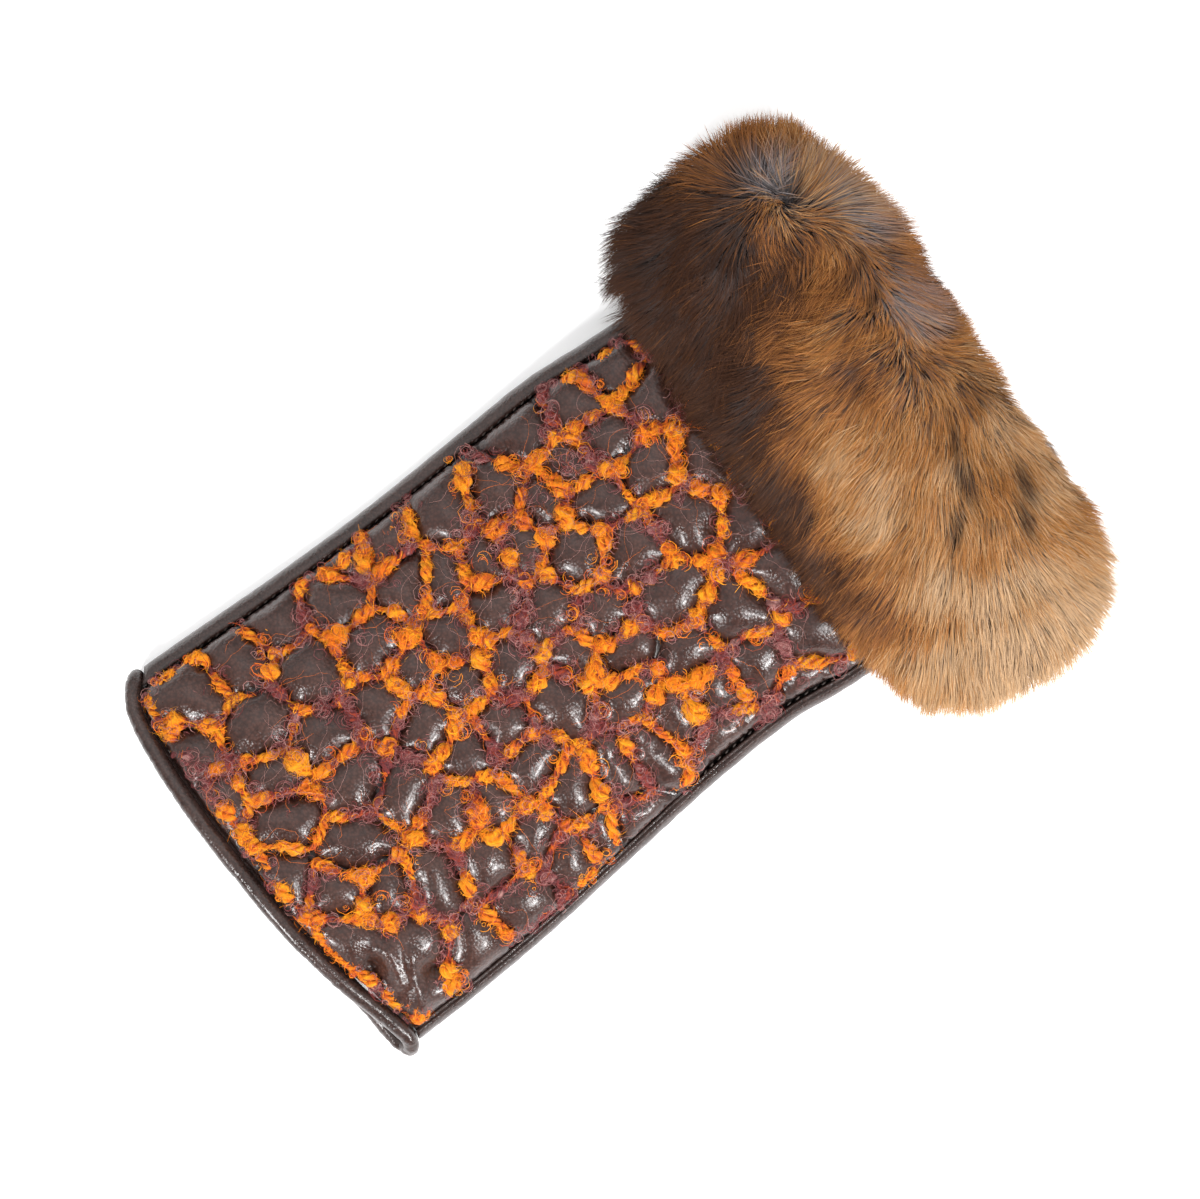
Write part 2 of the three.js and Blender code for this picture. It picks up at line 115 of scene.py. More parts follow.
GAP = 0.3  # between pieces that lie against each other
LEATHER_END = 140  # both leathers end here, under the fur
LINING_END = 181
SIDE_HEIGHT = 8  # of the folded side edges
SIDE_RADIUS = SIDE_HEIGHT / 2
CROWN = 11  # the back arches this far above its side edges
ARCH_POWER = 2.2
WRIST_LIFT, LIFT_FROM, LIFT_TO = 7.5, 48, 150  # rise of the palm towards the wrist
LEFT_LIP, RIGHT_LIP = 3.2, 1.8  # bands of the palm's leather on the back
LEFT_SEAM, RIGHT_SEAM = 0.9, 1.3  # grooves between these bands and the quilting
THUMB_FROM, THUMB_TO, THUMB_GAP, THUMB_EASE = 81, 123, 0.9, 7  # the right groove is wider here
MOUTH_FADE = 30  # the finger edge's bow dies out over this length
BINDING_RADIUS = 2
QUILT_THICK = 2.4
PAD_RISE = 2.4

# %% Heights and edges of the leather tube
def rest_height(y):
    """The flattened fur carries the wrist end of the palm off the table."""
    return WRIST_LIFT * smoothstep(y, LIFT_FROM, LIFT_TO)


def quilt_left(y):
    return left_edge(y) + LEFT_LIP + LEFT_SEAM


def quilt_right(y):
    opened = smoothstep(y, THUMB_FROM, THUMB_FROM + THUMB_EASE)
    closed = smoothstep(y, THUMB_TO - THUMB_EASE, THUMB_TO)
    return right_edge(y) - RIGHT_LIP - RIGHT_SEAM - THUMB_GAP * (opened - closed)


def arch_height(x, y):
    """Height of the back's leather in its grooves."""
    middle = (quilt_left(y) + quilt_right(y)) / 2
    half = (quilt_right(y) - quilt_left(y)) / 2
    across = np.minimum(1, np.abs(x - middle) / half)
    return rest_height(y) + SIDE_HEIGHT + CROWN * (1 - across**ARCH_POWER)


def bowed(x, y, z):
    """Moves a panel's finger edge onto the bow of the mouth, clear of the binding."""
    up = np.clip((z - rest_height(y)) / SIDE_HEIGHT, 0, 1)
    mouth = mouth_palm(x) + (mouth_back(x) - mouth_palm(x)) * up
    fade = np.maximum(0, 1 - y / MOUTH_FADE)
    return np.stack([x, y + (mouth + BINDING_RADIUS + 2 * GAP) * fade, z], axis=-1)


MM = 0.001
quilt_low, quilt_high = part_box("quilted_back")
palm_low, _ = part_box("palm_panel")
SHIFT = np.array([quilt_low.x / MM - quilt_left(0.0), quilt_high.y / MM - LEATHER_END, palm_low.z / MM])


def to_part(points):
    """From the glove's millimetres to the part's frame in metres."""
    return (np.asarray(points, float) + SHIFT) * MM


print("glove to part, mm:", np.round(SHIFT, 3))

# %% [markdown]
# ## Camera, floor and light
#
# The glove was photographed from straight above with a long lens, on a white table. The camera comes
# first. The light is what shows leather best: two small lamps low down at the table's front corners,
# with a weaker one above the right one, draw bright crescents on the pads. Broad weak lamps and pale
# walls fill the shadows. The ceiling round the lens is pale, which lays an even grey on the flat tops,
# and the cove between it and the walls is dark, which keeps the slopes deep. The table glows faintly
# itself, so it stays white between the lamps.
#
# A few helpers for shader nodes come before the lamps, because the floor, the walls and every material
# after them are made with the same ones.

# %% Camera
LENS = 150
SENSOR = 36
VIEW_WIDTH = 255.3  # millimetres of table across the picture
VIEW_MIDDLE = (-2.0, 89.4)
VIEW_TURN = math.radians(52.6)
VIEW_PLANE = 12  # height at which VIEW_WIDTH holds

camera_data = bpy.data.cameras.new("camera")
camera_data.lens = LENS
camera_data.sensor_width = SENSOR
camera_data.clip_end = 10
camera = bpy.data.objects.new("camera", camera_data)
scene.collection.objects.link(camera)
distance = VIEW_WIDTH * LENS / SENSOR
camera.location = to_part((*VIEW_MIDDLE, VIEW_PLANE + distance))
camera.rotation_euler = (0, 0, VIEW_TURN)
scene.camera = camera
print(f"camera {distance:.0f} mm above the glove")

# %% Node helpers
def new_material(name, **values):
    """A node material whose shader sockets take the given values."""
    material = bpy.data.materials.new(name)
    material.use_nodes = True
    shader = material.node_tree.nodes["Principled BSDF"]
    for socket, value in values.items():
        shader.inputs[socket.replace("_", " ")].default_value = value
    return material, shader


def link(material, output, socket):
    material.node_tree.links.new(output, socket)


def node(material, kind, inputs=(), **settings):
    """Adds a node; inputs is a list of (socket, value or output socket)."""
    made = material.node_tree.nodes.new(kind)
    for setting, value in settings.items():
        setattr(made, setting, value)
    for socket, value in inputs:
        if isinstance(value, bpy.types.NodeSocket):
            link(material, value, made.inputs[socket])
        else:
            made.inputs[socket].default_value = value
    return made


def grey(value):
    return (value, value, value)


def ramp(material, factor, stops):
    """A colour ramp through (place, colour) stops."""
    made = node(material, "ShaderNodeValToRGB", [("Fac", factor)])
    elements = made.color_ramp.elements
    while len(elements) < len(stops):
        elements.new(0.5)
    for element, (place, colour) in zip(elements, stops):
        element.position = place
        element.color = (*colour, 1)
    return made.outputs["Color"]

# %% Floor and lamps
FLOOR_SIZE = 6  # metres
floor_mesh = bmesh.new()
bmesh.ops.create_grid(floor_mesh, x_segments=1, y_segments=1, size=FLOOR_SIZE / 2)
floor_data = bpy.data.meshes.new("floor")
floor_mesh.to_mesh(floor_data)
floor_mesh.free()
floor = bpy.data.objects.new("floor", floor_data)
scene.collection.objects.link(floor)
floor_paint, _ = new_material(
    "white_table", Base_Color=(0.95, 0.95, 0.953, 1), Roughness=0.9, Specular_IOR_Level=0.1,
    Emission_Color=(1, 1, 1, 1), Emission_Strength=0.3,
)
floor_data.materials.append(floor_paint)


def lamp(name, bearing, elevation, reach, size, watts):
    """A square lamp aimed at the glove. Bearing 0 is the picture's right, 90 its top."""
    turn = math.radians(bearing) + VIEW_TURN
    rise = math.radians(elevation)
    way = Vector((math.cos(turn) * math.cos(rise), math.sin(turn) * math.cos(rise), math.sin(rise)))
    data = bpy.data.lights.new(name, "AREA")
    data.size = size
    data.energy = watts
    light = bpy.data.objects.new(name, data)
    light.location = way * reach
    light.rotation_euler = way.to_track_quat("Z", "Y").to_euler()
    scene.collection.objects.link(light)


# Name, bearing and elevation in degrees, distance and size in metres, watts
LAMPS = [
    ("front_left_lamp", -130, 37, 1.5, 0.19, 19),
    ("front_right_lamp", -42, 37, 1.5, 0.19, 19),
    ("high_lamp", -42, 54, 1.5, 0.16, 8),
    ("left_lamp", 150, 40, 2.4, 2.2, 15),
    ("right_lamp", 20, 42, 2.4, 2.2, 14),
    ("back_lamp", 95, 50, 2.4, 2.2, 16),
]
for row in LAMPS:
    lamp(*row)

# Height of the view direction and brightness there: pale walls, dark cove, pale ceiling
WALL_TONES = [(0.0, 0.5), (0.45, 0.4), (0.62, 0.06), (0.84, 0.1), (0.95, 0.95), (1.0, 1.1)]
world = bpy.data.worlds.new("studio")
world.use_nodes = True
direction = node(world, "ShaderNodeTexCoord").outputs["Generated"]
height = node(world, "ShaderNodeSeparateXYZ", [("Vector", direction)]).outputs["Z"]
walls = ramp(world, height, [(at, grey(tone)) for at, tone in WALL_TONES])
link(world, walls, world.node_tree.nodes["Background"].inputs["Color"])
scene.world = world
scene.view_settings.view_transform = "Standard"
print("floor and", len(bpy.data.lights), "lamps")

# %% [markdown]
# ## Helpers for pieces
#
# Three kinds of making serve the whole glove. A flat grid bent by a formula makes every sheet of
# leather or cloth. Arrays make what is repeated by the thousand, such as hairs, because a loop over
# single vertices would take minutes. Smooth random waves give both of them their irregularity.

# %% Sheets and pieces
def points_of(sheet):
    return np.array([vert.co[:] for vert in sheet.verts])


def move_points(sheet, places):
    for vert, place in zip(sheet.verts, places):
        vert.co = place


def mark_points(sheet, mark, values):
    """Gives every point of a sheet a value that its material can read under this name."""
    layer = sheet.verts.layers.float.new(mark)
    for vert, value in zip(sheet.verts, values):
        vert[layer] = value


def flat_grid(columns, rows):
    """A square grid, and how far across and along it each point lies, from 0 to 1."""
    sheet = bmesh.new()
    bmesh.ops.create_grid(sheet, x_segments=columns, y_segments=rows, size=0.5)
    return sheet, (points_of(sheet)[:, :2] + 0.5).T


def bent_sheet(columns, rows, bend):
    """A grid whose points go to bend(across, along the hand), both from 0 to 1, in glove millimetres."""
    sheet, shares = flat_grid(columns, rows)
    move_points(sheet, bend(*shares))
    return sheet


def turn_faces(sheet, upward):
    """Turns the faces of an open sheet all one way, mostly up or mostly down."""
    bmesh.ops.recalc_face_normals(sheet, faces=sheet.faces)
    rise = sum(face.normal.z * face.calc_area() for face in sheet.faces)
    if (rise > 0) != upward:
        bmesh.ops.reverse_faces(sheet, faces=sheet.faces)


def piece_of(name, mesh, material):
    """An object at the origin that rides on the glove's one body."""
    for polygon in mesh.polygons:
        polygon.use_smooth = True
    piece = bpy.data.objects.new(name, mesh)
    scene.collection.objects.link(piece)
    mesh.materials.append(material)
    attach(piece, "root")
    print(f"{name}: {sum(len(polygon.vertices) - 2 for polygon in mesh.polygons)} triangles")
    return piece


def finish_sheet(name, sheet, material):
    """Takes a bmesh from glove millimetres to the part's frame and makes it a piece."""
    move_points(sheet, to_part(points_of(sheet)))
    mesh = bpy.data.meshes.new(name)
    sheet.to_mesh(mesh)
    sheet.free()
    return piece_of(name, mesh, material)

# %% Directions and smooth random waves
def one_long(vectors):
    """The same directions, each one long."""
    return vectors / np.maximum(np.linalg.norm(vectors, axis=-1), 1e-9)[..., None]


def waves(points, size, seed, count=14):
    """Smooth random values, about -1 to 1, that change over the given size in millimetres."""
    chance = np.random.default_rng(seed)
    ways = chance.normal(size=(count, 3))
    rates = (2 * math.pi / size) * chance.uniform(0.6, 1.4, (count, 1))
    ways *= rates / np.linalg.norm(ways, axis=1)[:, None]
    phases = chance.uniform(0, 2 * math.pi, count)
    return np.sin(points @ ways.T + phases).sum(-1) * math.sqrt(2 / count) * 0.7

# %% Ribbons and tubes by the thousand
def mesh_of(name, points, faces, marks):
    """A mesh from point places and face lists of equal length, with one number or vector a point."""
    mesh = bpy.data.meshes.new(name)
    mesh.vertices.add(len(points))
    mesh.vertices.foreach_set("co", to_part(points).ravel())
    corners = np.concatenate([face.ravel() for face in faces])
    sizes = np.concatenate([np.full(len(face), face.shape[1]) for face in faces])
    mesh.loops.add(len(corners))
    mesh.loops.foreach_set("vertex_index", corners.astype(np.int32))
    mesh.polygons.add(len(sizes))
    mesh.polygons.foreach_set("loop_start", (np.cumsum(sizes) - sizes).astype(np.int32))
    mesh.update(calc_edges=True)
    for mark, values in marks.items():
        kind = "FLOAT" if values.ndim == 1 else "FLOAT_VECTOR"
        layer = mesh.attributes.new(mark, kind, "POINT")
        layer.data.foreach_set("value" if values.ndim == 1 else "vector", values.astype(np.float32).ravel())
    return mesh


def ribbons(name, spines, half_widths, marks):
    """Flat strips along spines of the shape (ribbons, points, 3), which end in a point."""
    count, steps, _ = spines.shape
    first, rest = spines[:, :-1], spines[:, -1:]
    points = np.concatenate([first - half_widths[:, :-1], first + half_widths[:, :-1], rest], axis=1)
    per = 2 * steps - 1
    start = np.arange(count)[:, None] * per
    low = start + np.arange(steps - 2)
    high = low + steps - 1
    quads = np.stack([low, low + 1, high + 1, high], axis=-1).reshape(-1, 4)
    tips = np.stack([start + steps - 2, start + 2 * steps - 2, start + 2 * steps - 3], axis=-1)
    spread = {}
    for mark, values in marks.items():
        spread[mark] = np.concatenate([values[:, :-1], values[:, :-1], values[:, -1:]], axis=1)
        spread[mark] = spread[mark].reshape(count * per, *values.shape[2:])
    return mesh_of(name, points.reshape(-1, 3), [quads, tips.reshape(-1, 3)], spread)


def ring_quads(count, steps, sides):
    """Faces of tubes whose points are ordered by tube, ring and side."""
    tube, ring, side = np.meshgrid(np.arange(count), np.arange(steps - 1), np.arange(sides), indexing="ij")
    start = (tube * steps + ring) * sides
    after = (side + 1) % sides
    quads = [start + side, start + after, start + sides + after, start + sides + side]
    return np.stack(quads, axis=-1).reshape(-1, 4)

# %% [markdown]
# ## Leather
#
# Smooth dyed leather has three things that a flat brown has not. Its grain is a net of tiny cells with
# finer pores on them, which breaks every highlight into specks. Its gloss is uneven, because handling
# polishes it in places. Its dye lies in soft blotches, darkest between the cells. On the quilting, shade
# is also painted into the colour of the sewn creases. The grain, the gloss and the dye are patterns on
# Object coordinates, so they keep their scale on every piece; the painted crease shade follows a value
# that the panel's points carry. A thin clear finish lies over them.

# %% Patterns that several materials share
def object_place(material):
    return node(material, "ShaderNodeTexCoord").outputs["Object"]


def mottle(material, place, scale, detail, roughness=0.5):
    """Blotches of noise, from 0 to 1."""
    inputs = [("Vector", place), ("Scale", scale), ("Detail", detail), ("Roughness", roughness)]
    return node(material, "ShaderNodeTexNoise", inputs).outputs["Fac"]


def carried(material, mark):
    """The value that the points of a mesh carry under this name."""
    return node(material, "ShaderNodeAttribute", attribute_name=mark).outputs["Fac"]


def tinted(material, colour, tint):
    inputs = [(0, colour), (1, tint)]
    return node(material, "ShaderNodeVectorMath", inputs, operation="MULTIPLY").outputs["Vector"]


def brightened(material, colour, factor):
    inputs = [(0, colour), ("Scale", factor)]
    return node(material, "ShaderNodeVectorMath", inputs, operation="SCALE").outputs["Vector"]


def relief(material, height, strength, depth, under=(), **settings):
    """Normals of a bump with this depth in metres, laid on the relief under it."""
    inputs = [("Height", height), ("Strength", strength), ("Distance", depth), *under]
    return node(material, "ShaderNodeBump", inputs, **settings).outputs["Normal"]

# %% Leather material
DYE_BLOTCHES, POLISH_BLOTCHES = 90.0, 260.0  # to a metre
FINISH = 0.8  # weight of the clear finish for each unit of shine


def leather(name, dark, light, grain_size, rough, shine, shade_creases=False):
    """Dyed leather: two tones of its dye, size of its grain in metres, roughness, shine, painted crease
    shade.
    """
    material, shader = new_material(
        name, Specular_IOR_Level=shine, Coat_Weight=shine * FINISH, Coat_Roughness=0.2
    )
    place = object_place(material)
    net = [("Vector", place), ("Scale", 1 / grain_size)]
    cells = node(material, "ShaderNodeTexVoronoi", net).outputs["Distance"]
    between = ramp(material, cells, [(0.25, grey(1.15)), (0.75, grey(0.6))])
    dye = ramp(material, mottle(material, place, DYE_BLOTCHES, 4.0), [(0.3, dark), (0.75, light)])
    dyed = tinted(material, dye, between)
    # Shade painted into the sewn creases: the colour falls to a quarter at a groove
    if shade_creases:
        painted_crease_tint = ramp(material, carried(material, "crease_shade"), [(0.0, grey(1)), (1.0, grey(0.25))])
        dyed = tinted(material, dyed, painted_crease_tint)
    link(material, dyed, shader.inputs["Base Color"])
    polish = [(0.3, grey(rough - 0.07)), (0.7, grey(rough + 0.1))]
    worn = ramp(material, mottle(material, place, POLISH_BLOTCHES, 3.0), polish)
    link(material, worn, shader.inputs["Roughness"])
    grain = relief(material, cells, 0.5, grain_size * 0.27, invert=True)
    pores = mottle(material, place, 2.6 / grain_size, 2.0)
    fine = relief(material, pores, 0.3, grain_size * 0.15, [("Normal", grain)])
    link(material, fine, shader.inputs["Normal"])
    return material


quilt_leather = leather(
    "pebbled_leather", dark=(0.033, 0.012, 0.0085), light=(0.056, 0.0235, 0.017),
    grain_size=0.0007, rough=0.29, shine=0.32, shade_creases=True,
)
plain_leather = leather(
    "smooth_leather", dark=(0.027, 0.0142, 0.0116), light=(0.046, 0.0242, 0.0198),
    grain_size=0.0006, rough=0.26, shine=0.34,
)
print("leathers:", quilt_leather.name, plain_leather.name)

# %% [markdown]
# ## The quilt's chart
#
# A quilter draws a chart first. Each pad is an island of leather, and the yarn runs on the borders
# between neighbouring islands, halfway between their middles. The chart is made the way a pastry
# cutter would: for each pad a copy of the whole panel is cut back along the halfway line to every
# neighbour with bisect_plane, and the cells are welded into one mesh. Its edges are then the runs of
# yarn and its vertices are where they meet.

# %% Pads, charted in rows across the hand: y of the row, x of each pad's middle
PAD_ROWS = [
    (-1, [-28, -16, 5]),
    (3, [22]),
    (8.5, [-38, -6, 14, 43]),
    (12.5, [-13, 31]),
    (16.5, [-24, 8, 20]),
    (20, [-39]),
    (24.5, [-15, -3, 23, 42]),
    (31.5, [-41, -26, 5]),
    (37, [15, 27, 40]),
    (40, [-12]),
    (45, [-36, -23, -4, 19]),
    (49, [-14, 7, 29]),
    (52.5, [-42, 37]),
    (55.5, [-6, 7, 17]),
    (59.5, [-39, -30, -14, 27, 38]),
    (66, [-26, -3, 40]),
    (70.5, [-14, 9, 30]),
    (75, [-36, -23]),
    (78.5, [-6, 4, 30]),
    (83, [-22, 17]),
    (86.5, [-33, 2, 10, 27]),
    (93, [-26, -13, 38]),
    (97.5, [-40, 19, 27]),
    (101.5, [-28, -19, -6, 6]),
    (107, [28]),
    (110.5, [-38, -28, 18]),
    (115, [-18, -5, 40]),
    (121.5, [-38, 32]),
    (125, [-30, -11, 4, 17]),
    (135, [-40, -24, -8, 8, 24, 40]),
]
CHART_HALF = 46  # half the width of the even chart that is stretched onto the panel

# %% From the glove to the even chart and back
def pad_middles():
    middles = []
    for row_y, pads in PAD_ROWS:
        for x in pads:
            bow = mouth_back(x) + BINDING_RADIUS + 2 * GAP
            y = (row_y - bow) / (1 - bow / MOUTH_FADE) if row_y < MOUTH_FADE else row_y
            share = (x - quilt_left(y)) / (quilt_right(y) - quilt_left(y))
            middles.append(((2 * share - 1) * CHART_HALF, y))
    return np.array(middles, float)


def on_panel(u, v, rise=0.0):
    """Point of the quilted back at chart place u, v, this far above its grooves."""
    share = (u + CHART_HALF) / (2 * CHART_HALF)
    x = quilt_left(v) + share * (quilt_right(v) - quilt_left(v))
    return bowed(x, v, arch_height(x, v) + rise)


PADS = pad_middles()
print(len(PADS), "pads on the chart")

# %% Cut the chart into cells
NEIGHBOUR_REACH = 42  # pads further apart never meet


def quilt_chart():
    """The panel cut into a cell for each pad and welded along the borders."""
    chart = bmesh.new()
    for middle in PADS:
        cell = bmesh.new()
        bmesh.ops.create_grid(cell, x_segments=1, y_segments=1, size=0.5)
        bmesh.ops.scale(cell, vec=(2 * CHART_HALF, LEATHER_END, 1), verts=cell.verts)
        bmesh.ops.translate(cell, vec=(0, LEATHER_END / 2, 0), verts=cell.verts)
        for other in PADS:
            across = other - middle
            if 0 < np.hypot(*across) < NEIGHBOUR_REACH:
                halfway = (*(other + middle) / 2, 0)
                geometry = cell.verts[:] + cell.edges[:] + cell.faces[:]
                bmesh.ops.bisect_plane(
                    cell, geom=geometry, dist=1e-5, plane_co=halfway, plane_no=(*across, 0), clear_outer=True
                )
        island = bpy.data.meshes.new("cell")
        cell.to_mesh(island)
        cell.free()
        chart.from_mesh(island)
        bpy.data.meshes.remove(island)
    bmesh.ops.remove_doubles(chart, verts=chart.verts, dist=0.02)
    return chart


chart = quilt_chart()
print(len(chart.faces), "cells,", len(chart.edges), "runs of yarn,", len(chart.verts), "crossings")

# %% Distances to the folds and to the grooves
# Two folds by the finger edge's right corner, each a line of x, y in glove millimetres
FOLDS = [[(26, 7.6), (31, 8.2), (39, 6.0)], [(30.5, 14.2), (37, 10.0), (48, 4.9)]]
FOLD_FREE = 3.4  # the leather is not sewn down this near a fold,
FOLD_SLACK = 2.4  # so at a fold the grooves count as this much further away


def fold_distance(places):
    """Distance seen from above to the nearest fold, and how far along the fold that is, from 0 to 1."""
    best, run = np.full(len(places), np.inf), np.zeros(len(places))
    for fold in FOLDS:
        for index, (start, end) in enumerate(zip(fold[:-1], fold[1:])):
            leg = np.subtract(end, start)
            share = np.clip((places[:, :2] - start) @ leg / (leg @ leg), 0, 1)
            gap = np.linalg.norm(places[:, :2] - start - share[:, None] * leg, axis=1)
            run = np.where(gap < best, (index + share) / (len(fold) - 1), run)
            best = np.minimum(best, gap)
    return best, run


def groove_distance(u, v):
    """Distance on the chart to the nearest border between two pads, or to the panel's edge."""
    places = np.stack([u, v], axis=-1)
    squares = ((places[:, None] - PADS[None]) ** 2).sum(-1)
    nearest = squares.argmin(1)
    own = squares[np.arange(len(places)), nearest]
    spans = np.linalg.norm(PADS[nearest][:, None] - PADS[None], axis=-1)
    between = (squares - own[:, None]) / (2 * np.maximum(spans, 1e-9))
    between[np.arange(len(places)), nearest] = np.inf
    rim = np.minimum(CHART_HALF - np.abs(u), v)
    to_fold, _ = fold_distance(on_panel(u, v))
    loose = FOLD_SLACK * (1 - smoothstep(to_fold, 0.5 * FOLD_FREE, FOLD_FREE))
    return np.minimum(between.min(1) + loose, rim)

# %% [markdown]
# ## The quilted back
#
# Leather over wadding puffs up wherever it isn't sewn down, and puckers where it is. That is what a
# cloth simulation does. A sheet is pinned along the chart's borders, given a little more leather than
# the frame needs and blown up softly from below. Every point's travel is capped, and the result is
# written into the mesh. By the right corner its wrinkles are smoothed away and two long folds are raised
# instead. Small wrinkles, too fine for the simulation's grid, are pressed in elsewhere before the leather
# gets its thickness.

# %% Simulate the padding
SHEET_STEP = 0.8  # millimetres between the sheet's points
SEWN_WITHIN = 0.55  # the sheet is held this near a groove
SHOULDER, SHOULDER_POWER = 2.6, 1.3  # how fast a pad rises from its groove
START_RISE = 0.7  # share of the pads' height that the sheet starts with
CAP = 4.3  # no point travels further than this,
CAP_AT_FOLD = 0.35  # or than this share of it at a fold
SIM_SCALE = 0.1  # the simulation works on a panel of about 9 by 14 metres
SIM_FRAMES = 22
CLOTH = {
    "quality": 6,
    "mass": 0.4,
    "tension_stiffness": 12,
    "compression_stiffness": 12,
    "shear_stiffness": 6,
    "bending_stiffness": 0.6,
    "shrink_min": -0.11,  # below 0 it gives the sheet more leather
    "use_pressure": True,
    "uniform_pressure_force": 10.5,
}
QUILT_COLUMNS = round(2 * CHART_HALF / SHEET_STEP)
QUILT_ROWS = round(LEATHER_END / SHEET_STEP)


def pad_profile(groove):
    """Height of an unwrinkled pad at this distance from its groove."""
    inward = np.maximum(0, groove - 0.3)
    return PAD_RISE * (1 - np.exp(-((inward / SHOULDER) ** SHOULDER_POWER)))


def puffed(sheet, held):
    """Blows the pinned sheet up with a cloth simulation and returns its points."""
    start = points_of(sheet)
    mesh = bpy.data.meshes.new("wadding")
    sheet.to_mesh(mesh)
    mesh.vertices.foreach_set("co", (start * SIM_SCALE).ravel())
    trial = bpy.data.objects.new("wadding", mesh)
    scene.collection.objects.link(trial)
    sewn = trial.vertex_groups.new(name="sewn")
    sewn.add(np.flatnonzero(held).tolist(), 1.0, "REPLACE")
    cloth = trial.modifiers.new("cloth", "CLOTH")
    for setting, value in CLOTH.items():
        setattr(cloth.settings, setting, value)
    cloth.settings.vertex_group_mass = "sewn"
    cloth.settings.effector_weights.gravity = 0
    cloth.collision_settings.use_collision = False
    for step in range(1, SIM_FRAMES + 1):
        scene.frame_set(step)
    shaped = trial.evaluated_get(bpy.context.evaluated_depsgraph_get()).data
    end = np.zeros(3 * len(start))
    shaped.vertices.foreach_get("co", end)
    travel = end.reshape(-1, 3) / SIM_SCALE - start
    length = np.linalg.norm(travel, axis=1)
    off_fold = smoothstep(fold_distance(start)[0], 1, 2 * FOLD_FREE)
    cap = CAP * (CAP_AT_FOLD + (1 - CAP_AT_FOLD) * off_fold)
    travel *= np.minimum(1, cap / np.maximum(length, 1e-9))[:, None]
    bpy.data.objects.remove(trial)
    scene.frame_set(1)
    print(f"padding moved up to {length.max():.2f} mm, {held.sum()} of {len(held)} points are sewn")
    return start + travel


panel, (across, hand) = flat_grid(QUILT_COLUMNS, QUILT_ROWS)
panel_u, panel_v = (2 * across - 1) * CHART_HALF, hand * LEATHER_END
grooves = groove_distance(panel_u, panel_v)
pads = pad_profile(grooves)
move_points(panel, on_panel(panel_u, panel_v, START_RISE * pads))
move_points(panel, puffed(panel, grooves < SEWN_WITHIN))
print("highest pad", round(max(vert.co.z for vert in panel.verts), 1), "mm")

# %% Wrinkle and thicken it
FOLD_HEIGHT = 1.5
FOLD_HALF_WIDTH = 1.7
FOLD_RISE, FOLD_FALL = (0, 0.35), (1.02, 0.9)  # shares of a fold over which its ends rise
SMOOTHED_WITHIN, SMOOTHINGS = 4.5, 8  # the simulation's wrinkles are smoothed this near a fold
WRINKLE_DEPTH = 0.1
WRINKLE_SIZE = 3.4
WRINKLED_FROM, WRINKLED_TO = 2, 8  # distance from a fold over which the wrinkles set in
LEATHER_AND_WADDING = 1.9
# width of the shade painted into the sewn creases
CREASE_HALF_WIDTH = 0.9


def wrinkle(sheet, size, depths, seed):
    """Presses ridges of noise into a sheet along its normals, with a depth for each of its points."""
    sheet.normal_update()
    offset = Vector((seed, 2 * seed, 0))
    for vert, depth in zip(sheet.verts, depths):
        value = noise.noise(vert.co / size + offset)
        vert.co += vert.normal * depth * (0.5 - abs(value) * 2.4)


# Closeness to the grooves, which the leather reads to paint shade into the sewn creases
mark_points(panel, "crease_shade", np.exp(-((grooves / CREASE_HALF_WIDTH) ** 2)))
turn_faces(panel, upward=True)
apart, run = fold_distance(points_of(panel))
by_folds = [v for v, gap in zip(panel.verts, apart) if gap < SMOOTHED_WITHIN and not v.is_boundary]
for _ in range(SMOOTHINGS):
    bmesh.ops.smooth_vert(
        panel, verts=by_folds, factor=0.5, use_axis_x=True, use_axis_y=True, use_axis_z=True
    )
ridge = FOLD_HEIGHT * np.exp(-((apart / FOLD_HALF_WIDTH) ** 2))
ridge *= smoothstep(run, *FOLD_RISE) * smoothstep(run, *FOLD_FALL)
for vert, height in zip(panel.verts, ridge):
    vert.co.z += height
wrinkle(panel, WRINKLE_SIZE, WRINKLE_DEPTH * smoothstep(apart, WRINKLED_FROM, WRINKLED_TO), 3.1)
bmesh.ops.solidify(panel, geom=panel.faces[:], thickness=LEATHER_AND_WADDING)
quilted = finish_sheet("quilted_leather_back", panel, quilt_leather)
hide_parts("quilted_back")

# %% [markdown]
# ## The couched yarn
#
# The yarn is a slub bouclé of three plies: short fat lumps of roving, most of them orange and the others
# burgundy, joined by thin hard-twisted stretches from orange to burgundy, with clouds of mohair curls
# round them. It is laid on the panel and sewn down. Its routes follow the chart: at each crossing the
# yarn goes straight on where it can, so the runs join into long strands. Some borders are sewn without
# yarn, as on the real glove. A thickness and a tone then vary along each strand.

# %% Follow the chart's borders
YARN_STEP = 0.5
WANDER = 1.25  # the yarn strays this far from its border,
WANDER_LEG = 6  # and less from a border shorter than this
STRAY_CROSSING = 0.7
SHORTEST_STRAND = 6  # in steps
BARE_SHARE, BARE_SIDES, BARE_FINGER_EDGE = 0.03, 0.4, 0.08  # shares of the borders without yarn
YARN_CLEAR_OF_FOLD = 2.5
LEFT_CORNER = (-38, 16)  # the finger edge's left corner, up to this place, always has yarn
RIM_INSET = 2.3  # along the panel's edges it lies this far in
HIDDEN_FROM = 134  # under the fur
yarn_chance = np.random.default_rng(11)


def inset(place):
    """Chart place of a crossing, kept clear of the panel's edges."""
    u = np.clip(place.x, RIM_INSET - CHART_HALF, CHART_HALF - RIM_INSET)
    return np.array([u, max(place.y, RIM_INSET)])


